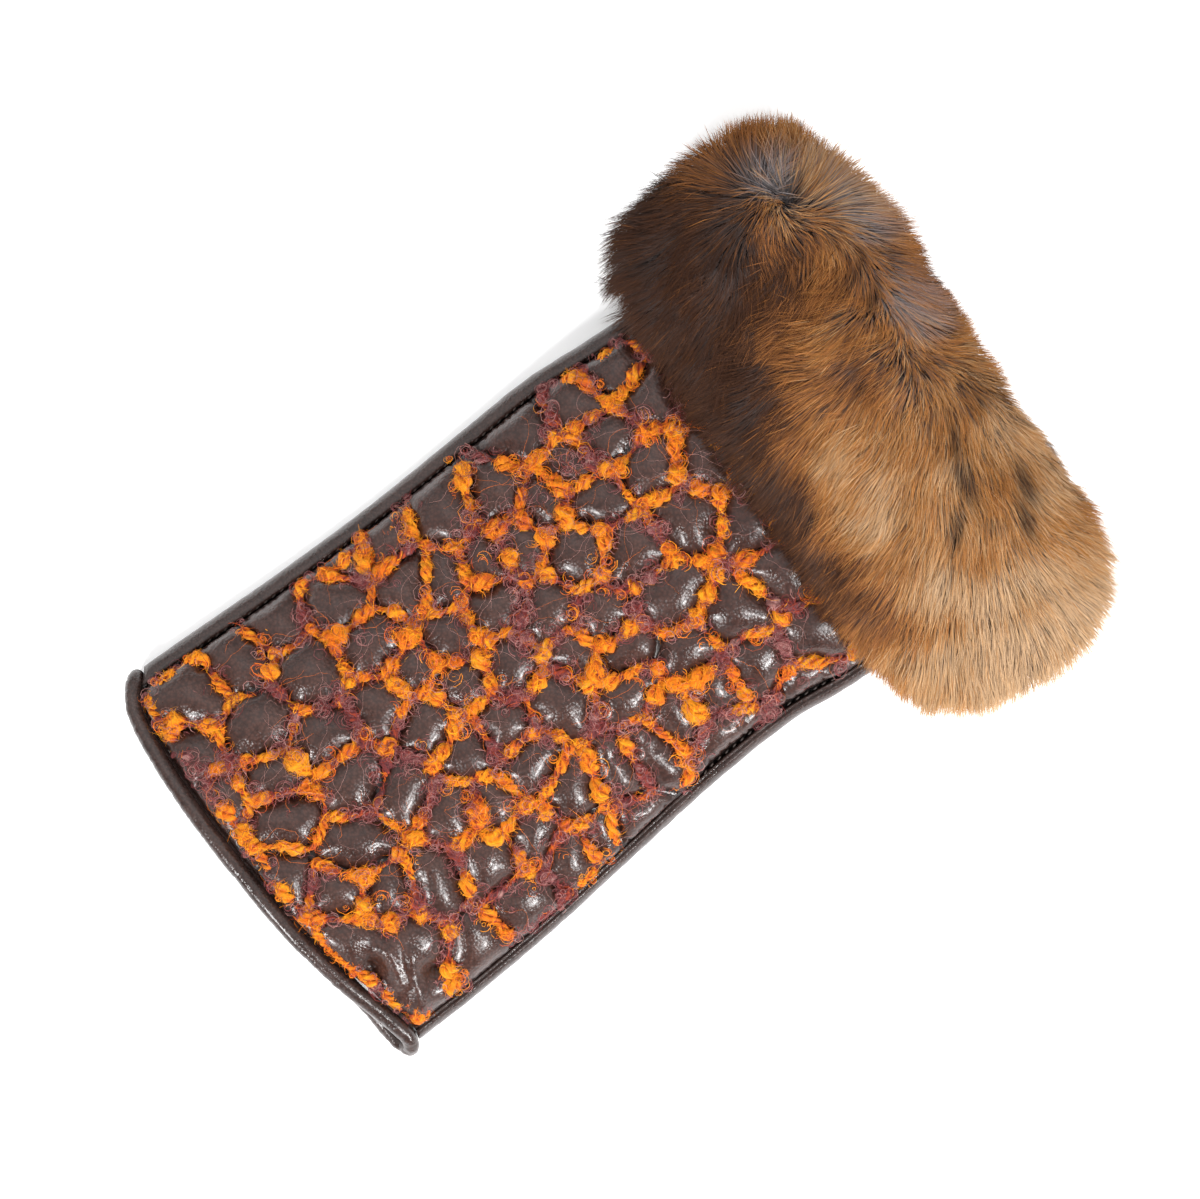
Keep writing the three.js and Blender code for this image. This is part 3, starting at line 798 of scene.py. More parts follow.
def carries_yarn(edge):
    """Borders under the fur or on a fold carry none, nor do some of the others, chosen by chance."""
    middle = (edge.verts[0].co + edge.verts[1].co) / 2
    place = on_panel(np.array([middle.x]), np.array([middle.y]))
    on_fold = fold_distance(place)[0][0] < YARN_CLEAR_OF_FOLD
    if min(v.co.y for v in edge.verts) >= HIDDEN_FROM or (on_fold and not edge.is_boundary):
        return False
    bare = BARE_SHARE
    if edge.is_boundary:
        bare = BARE_FINGER_EDGE if max(v.co.y for v in edge.verts) < 1 else BARE_SIDES
        bare *= not (middle.x < LEFT_CORNER[0] and middle.y < LEFT_CORNER[1])
    return yarn_chance.random() > bare


def yarn_routes(chart):
    """Joins the chart's edges into strands, each a list of crossings."""
    laid = {edge for edge in chart.edges if carries_yarn(edge)}
    place = {v: inset(v.co) + yarn_chance.uniform(-1, 1, 2) * STRAY_CROSSING for v in chart.verts}
    onward = {}
    for crossing in chart.verts:
        ends = [edge for edge in crossing.link_edges if edge in laid]
        ways = {edge: (edge.other_vert(crossing).co - crossing.co).normalized() for edge in ends}
        pairs = [(i, j) for j in range(len(ends)) for i in range(j)]
        for _, i, j in sorted((ways[ends[i]].dot(ways[ends[j]]), i, j) for i, j in pairs):
            if (crossing, ends[i]) not in onward and (crossing, ends[j]) not in onward:
                onward[crossing, ends[i]] = ends[j]
                onward[crossing, ends[j]] = ends[i]
    routes = []
    used = set()
    starts = [(v, e) for v in chart.verts for e in v.link_edges]
    for crossing, edge in sorted(starts, key=lambda start: start in onward):
        if edge in used or edge not in laid:
            continue
        route = [place[crossing]]
        while edge is not None and edge not in used:
            used.add(edge)
            crossing = edge.other_vert(crossing)
            route.append(place[crossing])
            edge = onward.get((crossing, edge))
        routes.append(np.array(route))
    return routes


def wandering(route):
    """Even steps along a smooth curve through a route, which strays to one side between crossings."""
    legs = np.diff(route, axis=0)
    lengths = np.linalg.norm(legs, axis=1)
    sideways = np.stack([-legs[:, 1], legs[:, 0]], axis=1) / np.maximum(lengths, 1e-6)[:, None]
    stray = WANDER * yarn_chance.uniform(-1, 1, len(legs)) * np.minimum(1, lengths / WANDER_LEG)
    halfway = (route[:-1] + route[1:]) / 2 + sideways * stray[:, None]
    places = np.empty((2 * len(route) - 1, 2))
    places[0::2], places[1::2] = route, halfway
    lengths = np.linalg.norm(np.diff(places, axis=0), axis=1)
    run = np.concatenate([[0], np.cumsum(np.maximum(1e-3, lengths))])
    at = np.arange(0, run[-1], YARN_STEP)
    smooth = [along(np.column_stack([run, places[:, k]]), 1)(at) for k in (0, 1)]
    return np.stack(smooth, axis=1)


routes = [wandering(route) for route in yarn_routes(chart)]
routes = [route for route in routes if len(route) >= SHORTEST_STRAND]
chart.free()
print(f"{len(routes)} strands, {sum(len(r) for r in routes) * YARN_STEP / 1000:.2f} m of yarn")

# %% Slubs and thin stretches along the yarn
ORANGE_SHARE = 0.74
# Limits of a slub's length, of its half thickness and of its tone: 1 is orange, 0.2 is burgundy
ORANGE_SLUB = [(2.4, 6.8), (1.3, 2.8), (0.8, 1.0)]
BURGUNDY_SLUB = [(2.4, 5), (1.2, 2.1), (0.12, 0.4)]
# Place along a slub and the share of its thickness there
SLUB_SHAPE = [(0.12, 0.72), (0.32, 1.0), (0.5, 0.8), (0.68, 1.0), (0.88, 0.72)]
SHORT_THIN, LONG_THIN = (0.7, 2.4), (3, 6)  # lengths of a thin stretch
SHORT_THIN_SHARE = 0.75
THIN_ORANGE, THIN_BURGUNDY = (0.6, 0.9), (0.12, 0.5)  # its tones
THIN_ORANGE_SHARE = 0.45
STRAND_END = (0.6, 0.35)  # half thickness and tone at the ends of a strand


def slub_plan(length):
    """Rows of place along a strand, half thickness and tone."""
    keys = [(0.0, *STRAND_END)]
    at = yarn_chance.uniform(0, 1.5)
    while at < length:
        kind = ORANGE_SLUB if yarn_chance.random() < ORANGE_SHARE else BURGUNDY_SLUB
        slub, fat, tone = (yarn_chance.uniform(*limits) for limits in kind)
        for share, part in SLUB_SHAPE:
            keys.append((at + share * slub, fat * part * yarn_chance.uniform(0.85, 1.15), tone))
        limits = SHORT_THIN if yarn_chance.random() < SHORT_THIN_SHARE else LONG_THIN
        thin = yarn_chance.uniform(*limits)
        slim = yarn_chance.uniform(0.5, 0.8)
        for share in (0.15, 0.85):
            limits = THIN_ORANGE if yarn_chance.random() < THIN_ORANGE_SHARE else THIN_BURGUNDY
            keys.append((at + slub + share * thin, slim, yarn_chance.uniform(*limits)))
        at += slub + thin
    keys.append((max(at, length) + 1, *STRAND_END))
    return np.array(keys)


def yarn_frames(route):
    """Place, direction, side and normal at every step of a strand."""
    u, v = route[:, 0], route[:, 1]
    nudge = 0.4
    across = on_panel(u + nudge, v) - on_panel(u - nudge, v)
    hand = on_panel(u, v + nudge) - on_panel(u, v - nudge)
    normal = one_long(np.cross(across, hand))
    place = on_panel(u, v)
    way = one_long(np.gradient(place, axis=0))
    return place, way, one_long(np.cross(normal, way)), normal


TRAITS = ("place", "way", "side", "normal", "fat", "tone", "run", "room", "first", "last")
FAT_SMOOTHING = (0.12, 0.23, 0.3, 0.23, 0.12)
yarn = {trait: [] for trait in TRAITS}
total = 0
for route in routes:
    run = np.arange(len(route)) * YARN_STEP
    plan = slub_plan(run[-1])
    fat = np.interp(run, plan[:, 0], plan[:, 1])
    fat = np.convolve(np.pad(fat, 2, mode="edge"), FAT_SMOOTHING, mode="valid")
    tone = np.interp(run, plan[:, 0], plan[:, 2])
    room = np.minimum(CHART_HALF - np.abs(route[:, 0]), route[:, 1])
    fat = np.minimum(fat, 0.75 * room + 0.2)
    count = len(route)
    ends = np.full(count, total), np.full(count, total + count - 1)
    for key, values in zip(TRAITS, (*yarn_frames(route), fat, tone, run, room, *ends)):
        yarn[key].append(values)
    total += count
yarn = {key: np.concatenate(values) for key, values in yarn.items()}
print(f"yarn is {2 * yarn['fat'].min():.1f} to {2 * yarn['fat'].max():.1f} mm thick")

# %% The yarn's body: plies that twist round each other
PLIES = 3
PLY_SIDES = 6
PLY_TWIST = 1.4  # radians to a millimetre, where the yarn's half thickness is 1
PLY_OFF, PLY_HALF = 0.5, 0.49  # how far off the yarn's middle a ply lies, and its half thickness
THINNEST_PLY = 0.2
SEAT = 0.35  # height of the yarn's middle over the groove,
LOFT = 0.72  # plus this share of its half thickness
FLATTENED = 0.8
# The tone falls towards the yarn's middle partly for its red core thread, partly as painted shade between
# the plies
CORE_AND_SHADE_FALL = 0.55  # fall of a ply's tone towards the middle of the yarn


def beside(index, up, aside):
    """Vector with these parts along the leather's normal and across the yarn, at the given steps."""
    return up[..., None] * yarn["normal"][index] + aside[..., None] * yarn["side"][index]


def yarn_middle(index):
    return yarn["place"][index] + yarn["normal"][index] * (SEAT + LOFT * yarn["fat"][index])[..., None]


def ply_mesh(name):
    """Three flattened tubes that wind round the yarn's middle, lumpy and thin at a strand's ends."""
    points, faces, marks = [], [], {"tone": [], "lay": []}
    base = start = 0
    corner = 2 * math.pi * np.arange(PLY_SIDES) / PLY_SIDES
    for strand, steps in enumerate(len(route) for route in routes):
        index = np.arange(start, start + steps)
        start += steps
        fat = yarn["fat"][index]
        twist = np.cumsum(YARN_STEP * PLY_TWIST / fat) + yarn_chance.uniform(0, 6)
        middle = yarn_middle(index)
        turn = twist[None] + 2 * math.pi * np.arange(PLIES)[:, None] / PLIES
        lumps = np.stack([waves(middle + 90 * k, 3.0, 41 + k) for k in range(PLIES)])
        spots = np.stack([waves(middle + 40 * k, 2.2, 30 + k) for k in range(PLIES)])
        off = fat * (PLY_OFF + 0.08 * spots)
        centre = middle + beside(index, off * FLATTENED * np.cos(turn), off * np.sin(turn))
        thick = np.maximum(fat * (PLY_HALF + 0.09 * lumps + 0.05 * spots), THINNEST_PLY)
        thick[:, [0, -1]] *= 0.3
        up, aside = thick[..., None] * np.cos(corner), thick[..., None] * np.sin(corner)
        rings = centre[:, :, None] + beside(index[:, None], up * FLATTENED, aside)
        points.append(rings.reshape(-1, 3))
        faces.append(ring_quads(PLIES, steps, PLY_SIDES) + base)
        base += PLIES * steps * PLY_SIDES
        reach = np.linalg.norm(rings - middle[None, :, None], axis=-1) / fat[None, :, None]
        # Painted shade between the plies, together with the red of the core thread
        core_and_shade = CORE_AND_SHADE_FALL * np.clip(0.82 - reach, 0, 0.6)
        patches = 0.16 * waves(rings.reshape(-1, 3), 2.4, 77).reshape(reach.shape)
        marks["tone"].append((yarn["tone"][index][None, :, None] - core_and_shade + patches).ravel())
        lay = np.empty((PLIES, steps, PLY_SIDES, 3))
        lay[..., 0] = (yarn["run"][index] * 0.3)[None, :, None]
        lay[..., 1] = corner * 1.2 + 9 * np.arange(PLIES)[:, None, None]
        lay[..., 2] = 17 * strand
        marks["lay"].append(lay.reshape(-1, 3))
    marks = {mark: np.concatenate(values) for mark, values in marks.items()}
    return mesh_of(name, np.concatenate(points), faces, marks)

# %% Yarn material
# Tone of the yarn and its colour there: pale rose, burgundy, red, orange
YARN_TONES = [
    (0.0, (0.42, 0.21, 0.185)),
    (0.08, (0.25, 0.082, 0.082)),
    (0.2, (0.13, 0.03, 0.033)),
    (0.36, (0.25, 0.04, 0.034)),
    (0.55, (0.56, 0.085, 0.02)),
    (0.74, (0.78, 0.17, 0.009)),
    (1.0, (0.88, 0.33, 0.014)),
]


def wool(name, brightness, streak):
    """Dyed roving: tone along the yarn, streaks along its fibres, a soft sheen."""
    material, shader = new_material(name, Roughness=0.9, Specular_IOR_Level=0.1, Sheen_Weight=0.06)
    lay = node(material, "ShaderNodeAttribute", attribute_name="lay").outputs["Vector"]
    fibres = mottle(material, lay, 3.2, 5.0, roughness=0.7)
    shade = node(
        material, "ShaderNodeMapRange",
        [("Value", fibres), ("From Min", 0.3), ("From Max", 0.7),
         ("To Min", brightness * (1 - streak)), ("To Max", brightness * (1 + streak))],
    )
    dye = ramp(material, carried(material, "tone"), YARN_TONES)
    dyed = brightened(material, dye, shade.outputs["Result"])
    link(material, dyed, shader.inputs["Base Color"])
    link(material, relief(material, fibres, 0.9, 0.0004), shader.inputs["Normal"])
    return material


roving = wool("orange_and_burgundy_roving", 0.86, 0.45)
piece_of("yarn_plies", ply_mesh("yarn_plies"), roving)

# %% [markdown]
# ## Fibres of the yarn
#
# Close up, no strand of roving has a smooth skin: it is all fine fibres that curve, lift off and cross
# over. Three kinds are made as narrow ribbons. Surface fibres swirl over a slub and stand off it in a
# halo. Curls are open rings of mohair, most of them burgundy, which lie ring in ring in clouds along the
# yarn, closest together where it is burgundy itself. Some hundred long loose hairs wander over the
# leather from yarn to yarn.

# %% Fibres on the yarn's surface
FIBRES = 11300
FIBRE_POINTS = 6


def widths(spines, outward, half_width, taper=0.35):
    """Half-width vectors of ribbons that lie flat on the surface under them."""
    side = one_long(np.cross(outward, np.gradient(spines, axis=1)))
    shape = np.linspace(1, taper, spines.shape[1])
    return side * (half_width[:, None] * shape)[..., None]


def surface_fibres():
    """Short fibres that curve over the yarn, most of them where it is thick."""
    share = yarn["fat"] ** 1.6
    root = yarn_chance.choice(total, FIBRES, p=share / share.sum())
    step = np.linspace(0, 1, FIBRE_POINTS)
    length = yarn_chance.uniform(2.0, 5.5, FIBRES)
    heading = yarn_chance.normal(0, 0.9, FIBRES) + math.pi * yarn_chance.integers(0, 2, FIBRES)
    curve = yarn_chance.normal(0, 0.6, FIBRES)
    travelled = length[:, None] * step
    course = heading[:, None] + curve[:, None] * travelled
    forward = np.cumsum(np.cos(course), axis=1) * length[:, None] / FIBRE_POINTS
    round_it = np.cumsum(np.sin(course), axis=1) * length[:, None] / FIBRE_POINTS
    ahead = root[:, None] + forward / YARN_STEP
    index = np.clip(ahead, yarn["first"][root][:, None], yarn["last"][root][:, None])
    index = np.round(index).astype(int)
    left_over = (ahead - index) * YARN_STEP
    fat = yarn["fat"][index]
    angle = yarn_chance.uniform(-1.5, 1.5, FIBRES)[:, None] + round_it / fat
    lift = yarn_chance.exponential(0.16, FIBRES)[:, None]
    lift = lift + yarn_chance.exponential(0.55, FIBRES)[:, None] * step**2
    reach = fat * 0.98 + lift
    outward = beside(index, np.cos(angle), np.sin(angle))
    spines = yarn_middle(index) + left_over[..., None] * yarn["way"][index]
    spines = spines + beside(index, reach * np.cos(angle) * FLATTENED, reach * np.sin(angle))
    tone = yarn["tone"][root] + yarn_chance.normal(0, 0.13, FIBRES)
    tone = np.where(yarn_chance.random(FIBRES) < 0.1, yarn_chance.uniform(0.1, 0.5, FIBRES), tone)
    lay = np.stack([travelled * 0.2, np.zeros_like(travelled), 3 * root[:, None] + 0 * travelled], axis=-1)
    half = yarn_chance.uniform(0.03, 0.075, FIBRES)
    marks = {"tone": np.repeat(tone[:, None], FIBRE_POINTS, 1), "lay": lay}
    return ribbons("yarn_fibres", spines, widths(spines, outward, half), marks)


loose_wool = wool("loose_fibres", 1.0, 0.4)
piece_of("yarn_fibres", surface_fibres(), loose_wool)

# %% Curls of mohair
CURLS = 11200
CURL_POINTS = 8
SWIRLS = 1500  # the curls lie ring in ring round this many middles
ORANGE_SWIRLS = 0.42  # share of the swirls on orange yarn that are orange too


def mohair_curls():
    """Open rings of fibre in swirls beside the yarn, drawn in towards it near the panel's edges."""
    burgundy_here = np.clip(1.15 - yarn["tone"], 0.5, 1) ** 2
    middle = yarn_chance.choice(total, SWIRLS, p=burgundy_here / burgundy_here.sum())
    stray = yarn_chance.normal(0, 1, (SWIRLS, 2)) * (0.4 * yarn["fat"][middle] + 1.45)[:, None]
    lean_to = yarn_chance.normal(0, 0.4, (SWIRLS, 2))
    orange_swirl = (yarn["tone"][middle] > 0.6) & (yarn_chance.random(SWIRLS) < ORANGE_SWIRLS)
    swirl = yarn_chance.integers(0, SWIRLS, CURLS)
    root = middle[swirl]
    step = np.linspace(0, 1, CURL_POINTS)
    radius = 0.35 + 1.9 * yarn_chance.beta(1.3, 2.4, CURLS)
    turns = yarn_chance.uniform(0.35, 1.15, CURLS) * 2 * math.pi
    angle = yarn_chance.uniform(0, 6.3, CURLS)[:, None] + turns[:, None] * step
    grow = radius[:, None] * (1 - 0.5 * step * yarn_chance.uniform(-1, 1, CURLS)[:, None])
    drift = stray[swirl] + yarn_chance.normal(0, 0.3, (CURLS, 2))
    needs = np.linalg.norm(drift, axis=1) + radius
    fits = np.minimum(1, (yarn["room"][root] + 0.4) / needs)[:, None]
    drift, grow = drift * fits, grow * fits
    centre = yarn_middle(root) + drift[:, :1] * yarn["side"][root] + drift[:, 1:] * yarn["way"][root]
    off = np.abs(drift[:, 0]) / yarn["fat"][root]
    height = yarn["fat"][root] * FLATTENED * np.maximum(0.35, 1 - 0.4 * off)
    height = height + yarn_chance.exponential(0.4, CURLS)
    centre = centre + height[:, None] * yarn["normal"][root]
    tilt = lean_to[swirl] + yarn_chance.normal(0, 0.25, (CURLS, 2))
    flat = grow[..., None] * (
        np.cos(angle)[..., None] * (yarn["side"][root] + tilt[:, :1] * yarn["normal"][root])[:, None]
        + np.sin(angle)[..., None] * (yarn["way"][root] + tilt[:, 1:] * yarn["normal"][root])[:, None]
    )
    spines = centre[:, None] + flat
    orange, burgundy = yarn_chance.uniform(0.5, 0.98, CURLS), 0.42 * yarn_chance.beta(1.1, 2.4, CURLS)
    tone = np.where(orange_swirl[swirl], orange, burgundy)
    lay = np.stack([angle, 0 * angle, 5 * root[:, None] + 0 * angle], axis=-1)
    outward = np.broadcast_to(yarn["normal"][root][:, None], spines.shape)
    half = yarn_chance.uniform(0.03, 0.066, CURLS)
    marks = {"tone": np.repeat(tone[:, None], CURL_POINTS, 1), "lay": lay}
    return ribbons("mohair_curls", spines, widths(spines, outward, half, taper=0.6), marks)


piece_of("mohair_curls", mohair_curls(), loose_wool)

# %% Loose hairs over the leather
HAIRS = 600
HAIR_POINTS = 11


def loose_hairs():
    """Long thin hairs that start on the yarn and wander over the pads."""
    strand = yarn_chance.integers(0, len(routes), HAIRS)
    start = np.array([routes[k][yarn_chance.integers(0, len(routes[k]))] for k in strand])
    step = np.linspace(0, 1, HAIR_POINTS)
    length = yarn_chance.uniform(4, 17, HAIRS)
    bends = yarn_chance.normal(0, 0.42, (HAIRS, HAIR_POINTS)) + yarn_chance.normal(0, 0.2, HAIRS)[:, None]
    course = yarn_chance.uniform(0, 6.3, HAIRS)[:, None] + np.cumsum(bends, axis=1)
    u = start[:, :1] + np.cumsum(np.cos(course), axis=1) * length[:, None] / HAIR_POINTS
    v = start[:, 1:] + np.cumsum(np.sin(course), axis=1) * length[:, None] / HAIR_POINTS
    u = np.clip(u, 0.5 - CHART_HALF, CHART_HALF - 0.5)
    v = np.clip(v, 0.5, LEATHER_END - 1)
    rise = 2.2 + 1.6 * np.sin(math.pi * step) + yarn_chance.exponential(0.5, HAIRS)[:, None]
    spines = on_panel(u, v, rise)
    tone = np.where(yarn_chance.random(HAIRS) < 0.65, 0.0, 0.7)
    lay = np.stack([u, v, rise + 0 * u], axis=-1)
    half = yarn_chance.uniform(0.013, 0.025, HAIRS)
    upward = np.broadcast_to(np.array([0, 0, 1.0]), spines.shape)
    marks = {"tone": np.repeat(tone[:, None], HAIR_POINTS, 1), "lay": lay}
    return ribbons("loose_mohair", spines, widths(spines, upward, half, taper=0.7), marks)


piece_of("loose_mohair", loose_hairs(), loose_wool)

# %% [markdown]
# ## Palm leather
#
# The palm is one sheet of leather. It lies flat below, comes up round both side edges and ends on the
# back, where it is turned in and sewn to the quilted panel. On the thumb's side its edge is rolled
# twice, so two thin rolls run side by side. The section is a short curve at each side with a straight
# stretch between. A flat grid is bent through it, creased a little and given its thickness.

# %% Section of the palm
PALM_THICK = 1.2
PALM_WRINKLE = 5.5
ARC_STEPS = 24


def side_profile(lip, extra):
    """Distance in from the side edge and height, from the turned edge round to the underside."""
    top = math.acos((SIDE_RADIUS - lip) / SIDE_RADIUS)
    angles = np.linspace(top, -math.pi / 2, ARC_STEPS)
    arc = np.stack([SIDE_RADIUS * (1 - np.cos(angles)), SIDE_RADIUS * (1 + np.sin(angles))], axis=1)
    lip_end = arc[0]
    turned = np.array([lip_end + np.array(step) for step in extra]).reshape(-1, 2)
    return np.concatenate([turned, arc])


# Steps of the turned edge from the end of the lip: further in, and up
LEFT_TURN = [(0.75, -1.9), (0.6, -1.1), (0.3, -0.35)]
RIGHT_TURN = [(1.35, -1.6), (1.2, -0.5), (0.85, -0.12), (0.5, -0.4), (0.35, -0.85), (0.2, -0.5)]
LEFT_SHARE, RIGHT_SHARE = 0.34, 0.66  # the grid's columns between these are the flat of the palm
PALM_COLUMNS, PALM_ROWS = 72, 96


def along_profile(profile, share):
    """Place this share along a profile, or its far end past a share of 1."""
    run = np.concatenate([[0], np.cumsum(np.linalg.norm(np.diff(profile, axis=0), axis=1))])
    return [np.interp(share * run[-1], run, profile[:, k]) for k in (0, 1)]


def palm_sheet(across, hand):
    y = hand * LEATHER_END
    base = rest_height(y)
    left_in, left_up = along_profile(side_profile(LEFT_LIP, LEFT_TURN), across / LEFT_SHARE)
    right_in, right_up = along_profile(
        side_profile(RIGHT_LIP, RIGHT_TURN), (1 - across) / (1 - RIGHT_SHARE)
    )
    flat = np.clip((across - LEFT_SHARE) / (RIGHT_SHARE - LEFT_SHARE), 0, 1)
    x_left, x_right = left_edge(y) + left_in, right_edge(y) - right_in
    x = x_left + (x_right - x_left) * flat
    z = base + left_up + (right_up - left_up) * flat
    return bowed(x, y, z)


palm = bent_sheet(PALM_COLUMNS, PALM_ROWS, palm_sheet)
wrinkle(palm, PALM_WRINKLE, [WRINKLE_DEPTH] * len(palm.verts), 7.7)
turn_faces(palm, upward=False)
bmesh.ops.solidify(palm, geom=palm.faces[:], thickness=PALM_THICK)
palm_piece = finish_sheet("palm_leather", palm, plain_leather)
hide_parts("palm_panel")

# %% [markdown]
# ## Lining
#
# The lining is a thin dark knitted tube inside the leather. Only its ends show, at the fingers and at
# the wrist, and a little through the thumb slit. It is a grid rolled into a flat lens and welded along
# its seam. The faces in the slit are taken out before the wall gets its thickness.

# %% Lining tube
LINING_THICK = 0.8
LINING_INSET = 2.1  # from the side edges
LINING_CLEAR = 0.9  # from the quilting above it
LINING_COLUMNS, LINING_ROWS = 64, 60
FOLD_ROUND = 3.0  # width over which the lens rounds at its folds
SLIT_DEPTH = 2  # the lining is cut open this far in from the thumb's seam


def lining_sheet(across, hand):
    y = hand * LINING_END
    left, right = left_edge(y) + LINING_INSET, right_edge(y) - LINING_INSET
    turn = 2 * math.pi * across
    x = (left + right) / 2 - (right - left) / 2 * np.cos(turn)
    floor_z = rest_height(y) + PALM_THICK + GAP
    roof = arch_height(x, y) - QUILT_THICK - LINING_CLEAR
    near = np.clip(np.minimum(x - left, right - x) / FOLD_ROUND, 0, 1)
    rounded = np.sqrt(1 - (1 - near) ** 2)
    middle = (floor_z + roof) / 2
    upper, lower = middle + (roof - middle) * rounded, middle - (middle - floor_z) * rounded
    z = np.where(across <= 0.5, upper, lower)
    return bowed(x, y, z)


lining = bent_sheet(LINING_COLUMNS, LINING_ROWS, lining_sheet)
bmesh.ops.remove_doubles(lining, verts=lining.verts, dist=0.001)
slit_from = quilt_right((THUMB_FROM + THUMB_TO) / 2) - SLIT_DEPTH
middles = [(face, face.calc_center_median()) for face in lining.faces]
slit = [face for face, at in middles if at.x > slit_from and THUMB_FROM < at.y < THUMB_TO]
bmesh.ops.delete(lining, geom=slit, context="FACES")
bmesh.ops.recalc_face_normals(lining, faces=lining.faces)
bmesh.ops.solidify(lining, geom=lining.faces[:], thickness=LINING_THICK)
print(f"lining of {len(lining.faces)} faces, {len(slit)} cut out for the thumb")

# %% Knit of the lining
def knitted(name, colour, stitch):
    """Fine knit: ribs crossed by rows of stitches, each this wide in metres."""
    material, shader = new_material(name, Roughness=0.95, Specular_IOR_Level=0.1, Sheen_Weight=0.15)
    place = object_place(material)
    band = [("Vector", place), ("Scale", 0.32 / stitch), ("Distortion", 1.2)]
    ribs, courses = (
        node(material, "ShaderNodeTexWave", band, bands_direction=way).outputs["Fac"] for way in "XY"
    )
    both = [(0, ribs), (1, courses)]
    knit = node(material, "ShaderNodeMath", both, operation="MULTIPLY").outputs["Value"]
    dark = tuple(0.55 * part for part in colour)
    link(material, ramp(material, knit, [(0.1, dark), (0.8, colour)]), shader.inputs["Base Color"])
    link(material, relief(material, knit, 0.7, 0.0003), shader.inputs["Normal"])
    return material


dark_knit = knitted("dark_knit", colour=(0.045, 0.036, 0.031), stitch=0.0009)
lining_piece = finish_sheet("knitted_lining", lining, dark_knit)
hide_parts("lining_sleeve")

# %% [markdown]
# ## Rolled binding
#
# One strip of leather is rolled over the edges of the palm and the back and goes once round the finger
# opening. Seen from above it is a long shallow bow that dips out of sight at the corners. A grid is
# wrapped round the closed path as a tube. Leather that is bent over an edge creases across the roll,
# most where the path turns hardest, so the creases grow with the path's curvature.

# %% Path and roll of the binding
BINDING_COLUMNS, BINDING_ROWS = 18, 320
CREASE_SHARE, FOLDED_CREASE_SHARE = 0.035, 0.08  # depth of its creases, and more where it is folded
FOLDED_AT = 12  # the path's bend for each row times this is 1 where the roll counts as folded
SEAM_TURN, SEAM_HALF_TURN, SEAM_SHARE = 1.15 * math.pi, 0.28, 0.16  # groove of its seam


def closed_path(points, count):
    """Evenly spaced places on a smooth closed curve through the points, and its directions."""
    wrapped = np.concatenate([points[-3:], points, points[:4]])
    reach = np.linalg.norm(np.diff(wrapped, axis=0), axis=1) ** 0.5
    key = np.concatenate([[0], np.cumsum(reach)])
    table = np.column_stack([key, wrapped])
    fine = np.linspace(key[3], key[3 + len(points)], 4000)
    curve = np.stack([along(table, k)(fine) for k in (1, 2, 3)], axis=1)
    run = np.concatenate([[0], np.cumsum(np.linalg.norm(np.diff(curve, axis=0), axis=1))])
    even = np.linspace(0, run[-1], count + 1)
    place = np.stack([np.interp(even, run, curve[:, k]) for k in range(3)], axis=1)
    way = np.roll(place[:-1], -1, axis=0) - np.roll(place[:-1], 1, axis=0)
    way = np.concatenate([way, way[:1]])
    return place, one_long(way), even


mouth = np.array(MOUTH, float)
mouth[:2, 0] += (0.8, 0.4)  # its left end is tucked in behind the side band
upper_run = mouth[:, [0, 1, 3]]
lower_run = mouth[1:-1][::-1][:, [0, 2, 4]]
path_place, path_way, path_run = closed_path(np.concatenate([upper_run, lower_run]), BINDING_ROWS)
bend_of_path = np.linalg.norm(np.gradient(path_way, axis=0), axis=1)
bend_of_path = np.convolve(np.pad(bend_of_path, 6, mode="wrap"), np.ones(13) / 13, mode="valid")
print(f"the binding's middle line is {path_run[-1]:.0f} mm long")


def binding_roll(across, hand):
    row = np.clip(np.round(hand * BINDING_ROWS).astype(int), 0, BINDING_ROWS)
    place, way = path_place[row], path_way[row]
    out = one_long(np.cross(way, np.array([0, 0, 1.0])))
    up = np.cross(out, way)
    turn = 2 * math.pi * across
    folded = np.minimum(bend_of_path[row] * FOLDED_AT, 1)
    run = path_run[row % BINDING_ROWS]
    ridge = waves(np.stack([run * 1.6, 0.8 * np.cos(turn), 0.8 * np.sin(turn)], axis=1), 2.6, 5)
    swell = waves(np.stack([run * 0.25, 0 * turn, 0 * turn], axis=1), 3.0, 6)
    creases = (CREASE_SHARE + FOLDED_CREASE_SHARE * folded) * np.abs(ridge)
    radius = BINDING_RADIUS * (0.97 + 0.03 * swell - creases)
    from_seam = np.angle(np.exp(1j * (turn - SEAM_TURN)))
    radius = radius * (1 - SEAM_SHARE * np.exp(-((from_seam / SEAM_HALF_TURN) ** 2)))
    return place + (radius * np.cos(turn))[:, None] * out + (radius * np.sin(turn))[:, None] * up


binding = bent_sheet(BINDING_COLUMNS, BINDING_ROWS, binding_roll)
bmesh.ops.remove_doubles(binding, verts=binding.verts, dist=0.001)
bmesh.ops.recalc_face_normals(binding, faces=binding.faces)
binding_piece = finish_sheet("rolled_binding", binding, plain_leather)
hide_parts("finger_binding")

# %% [markdown]
# ## Seam stitches
#
# Where the turned edge of the palm meets the quilted panel, a row of small lockstitches lies in the
# groove. Each is a little drawn-out bead of thread, one sphere scaled and turned along the seam.

# %% Stitches in both grooves
STITCH_PITCH = 2.1
STITCH_SIZE = (0.62, 0.2, 0.16)  # half length, half width and half height
STITCH_SLANT = 0.25  # radians off the seam
STITCH_FROM, STITCH_TO = 3, LEATHER_END - 6


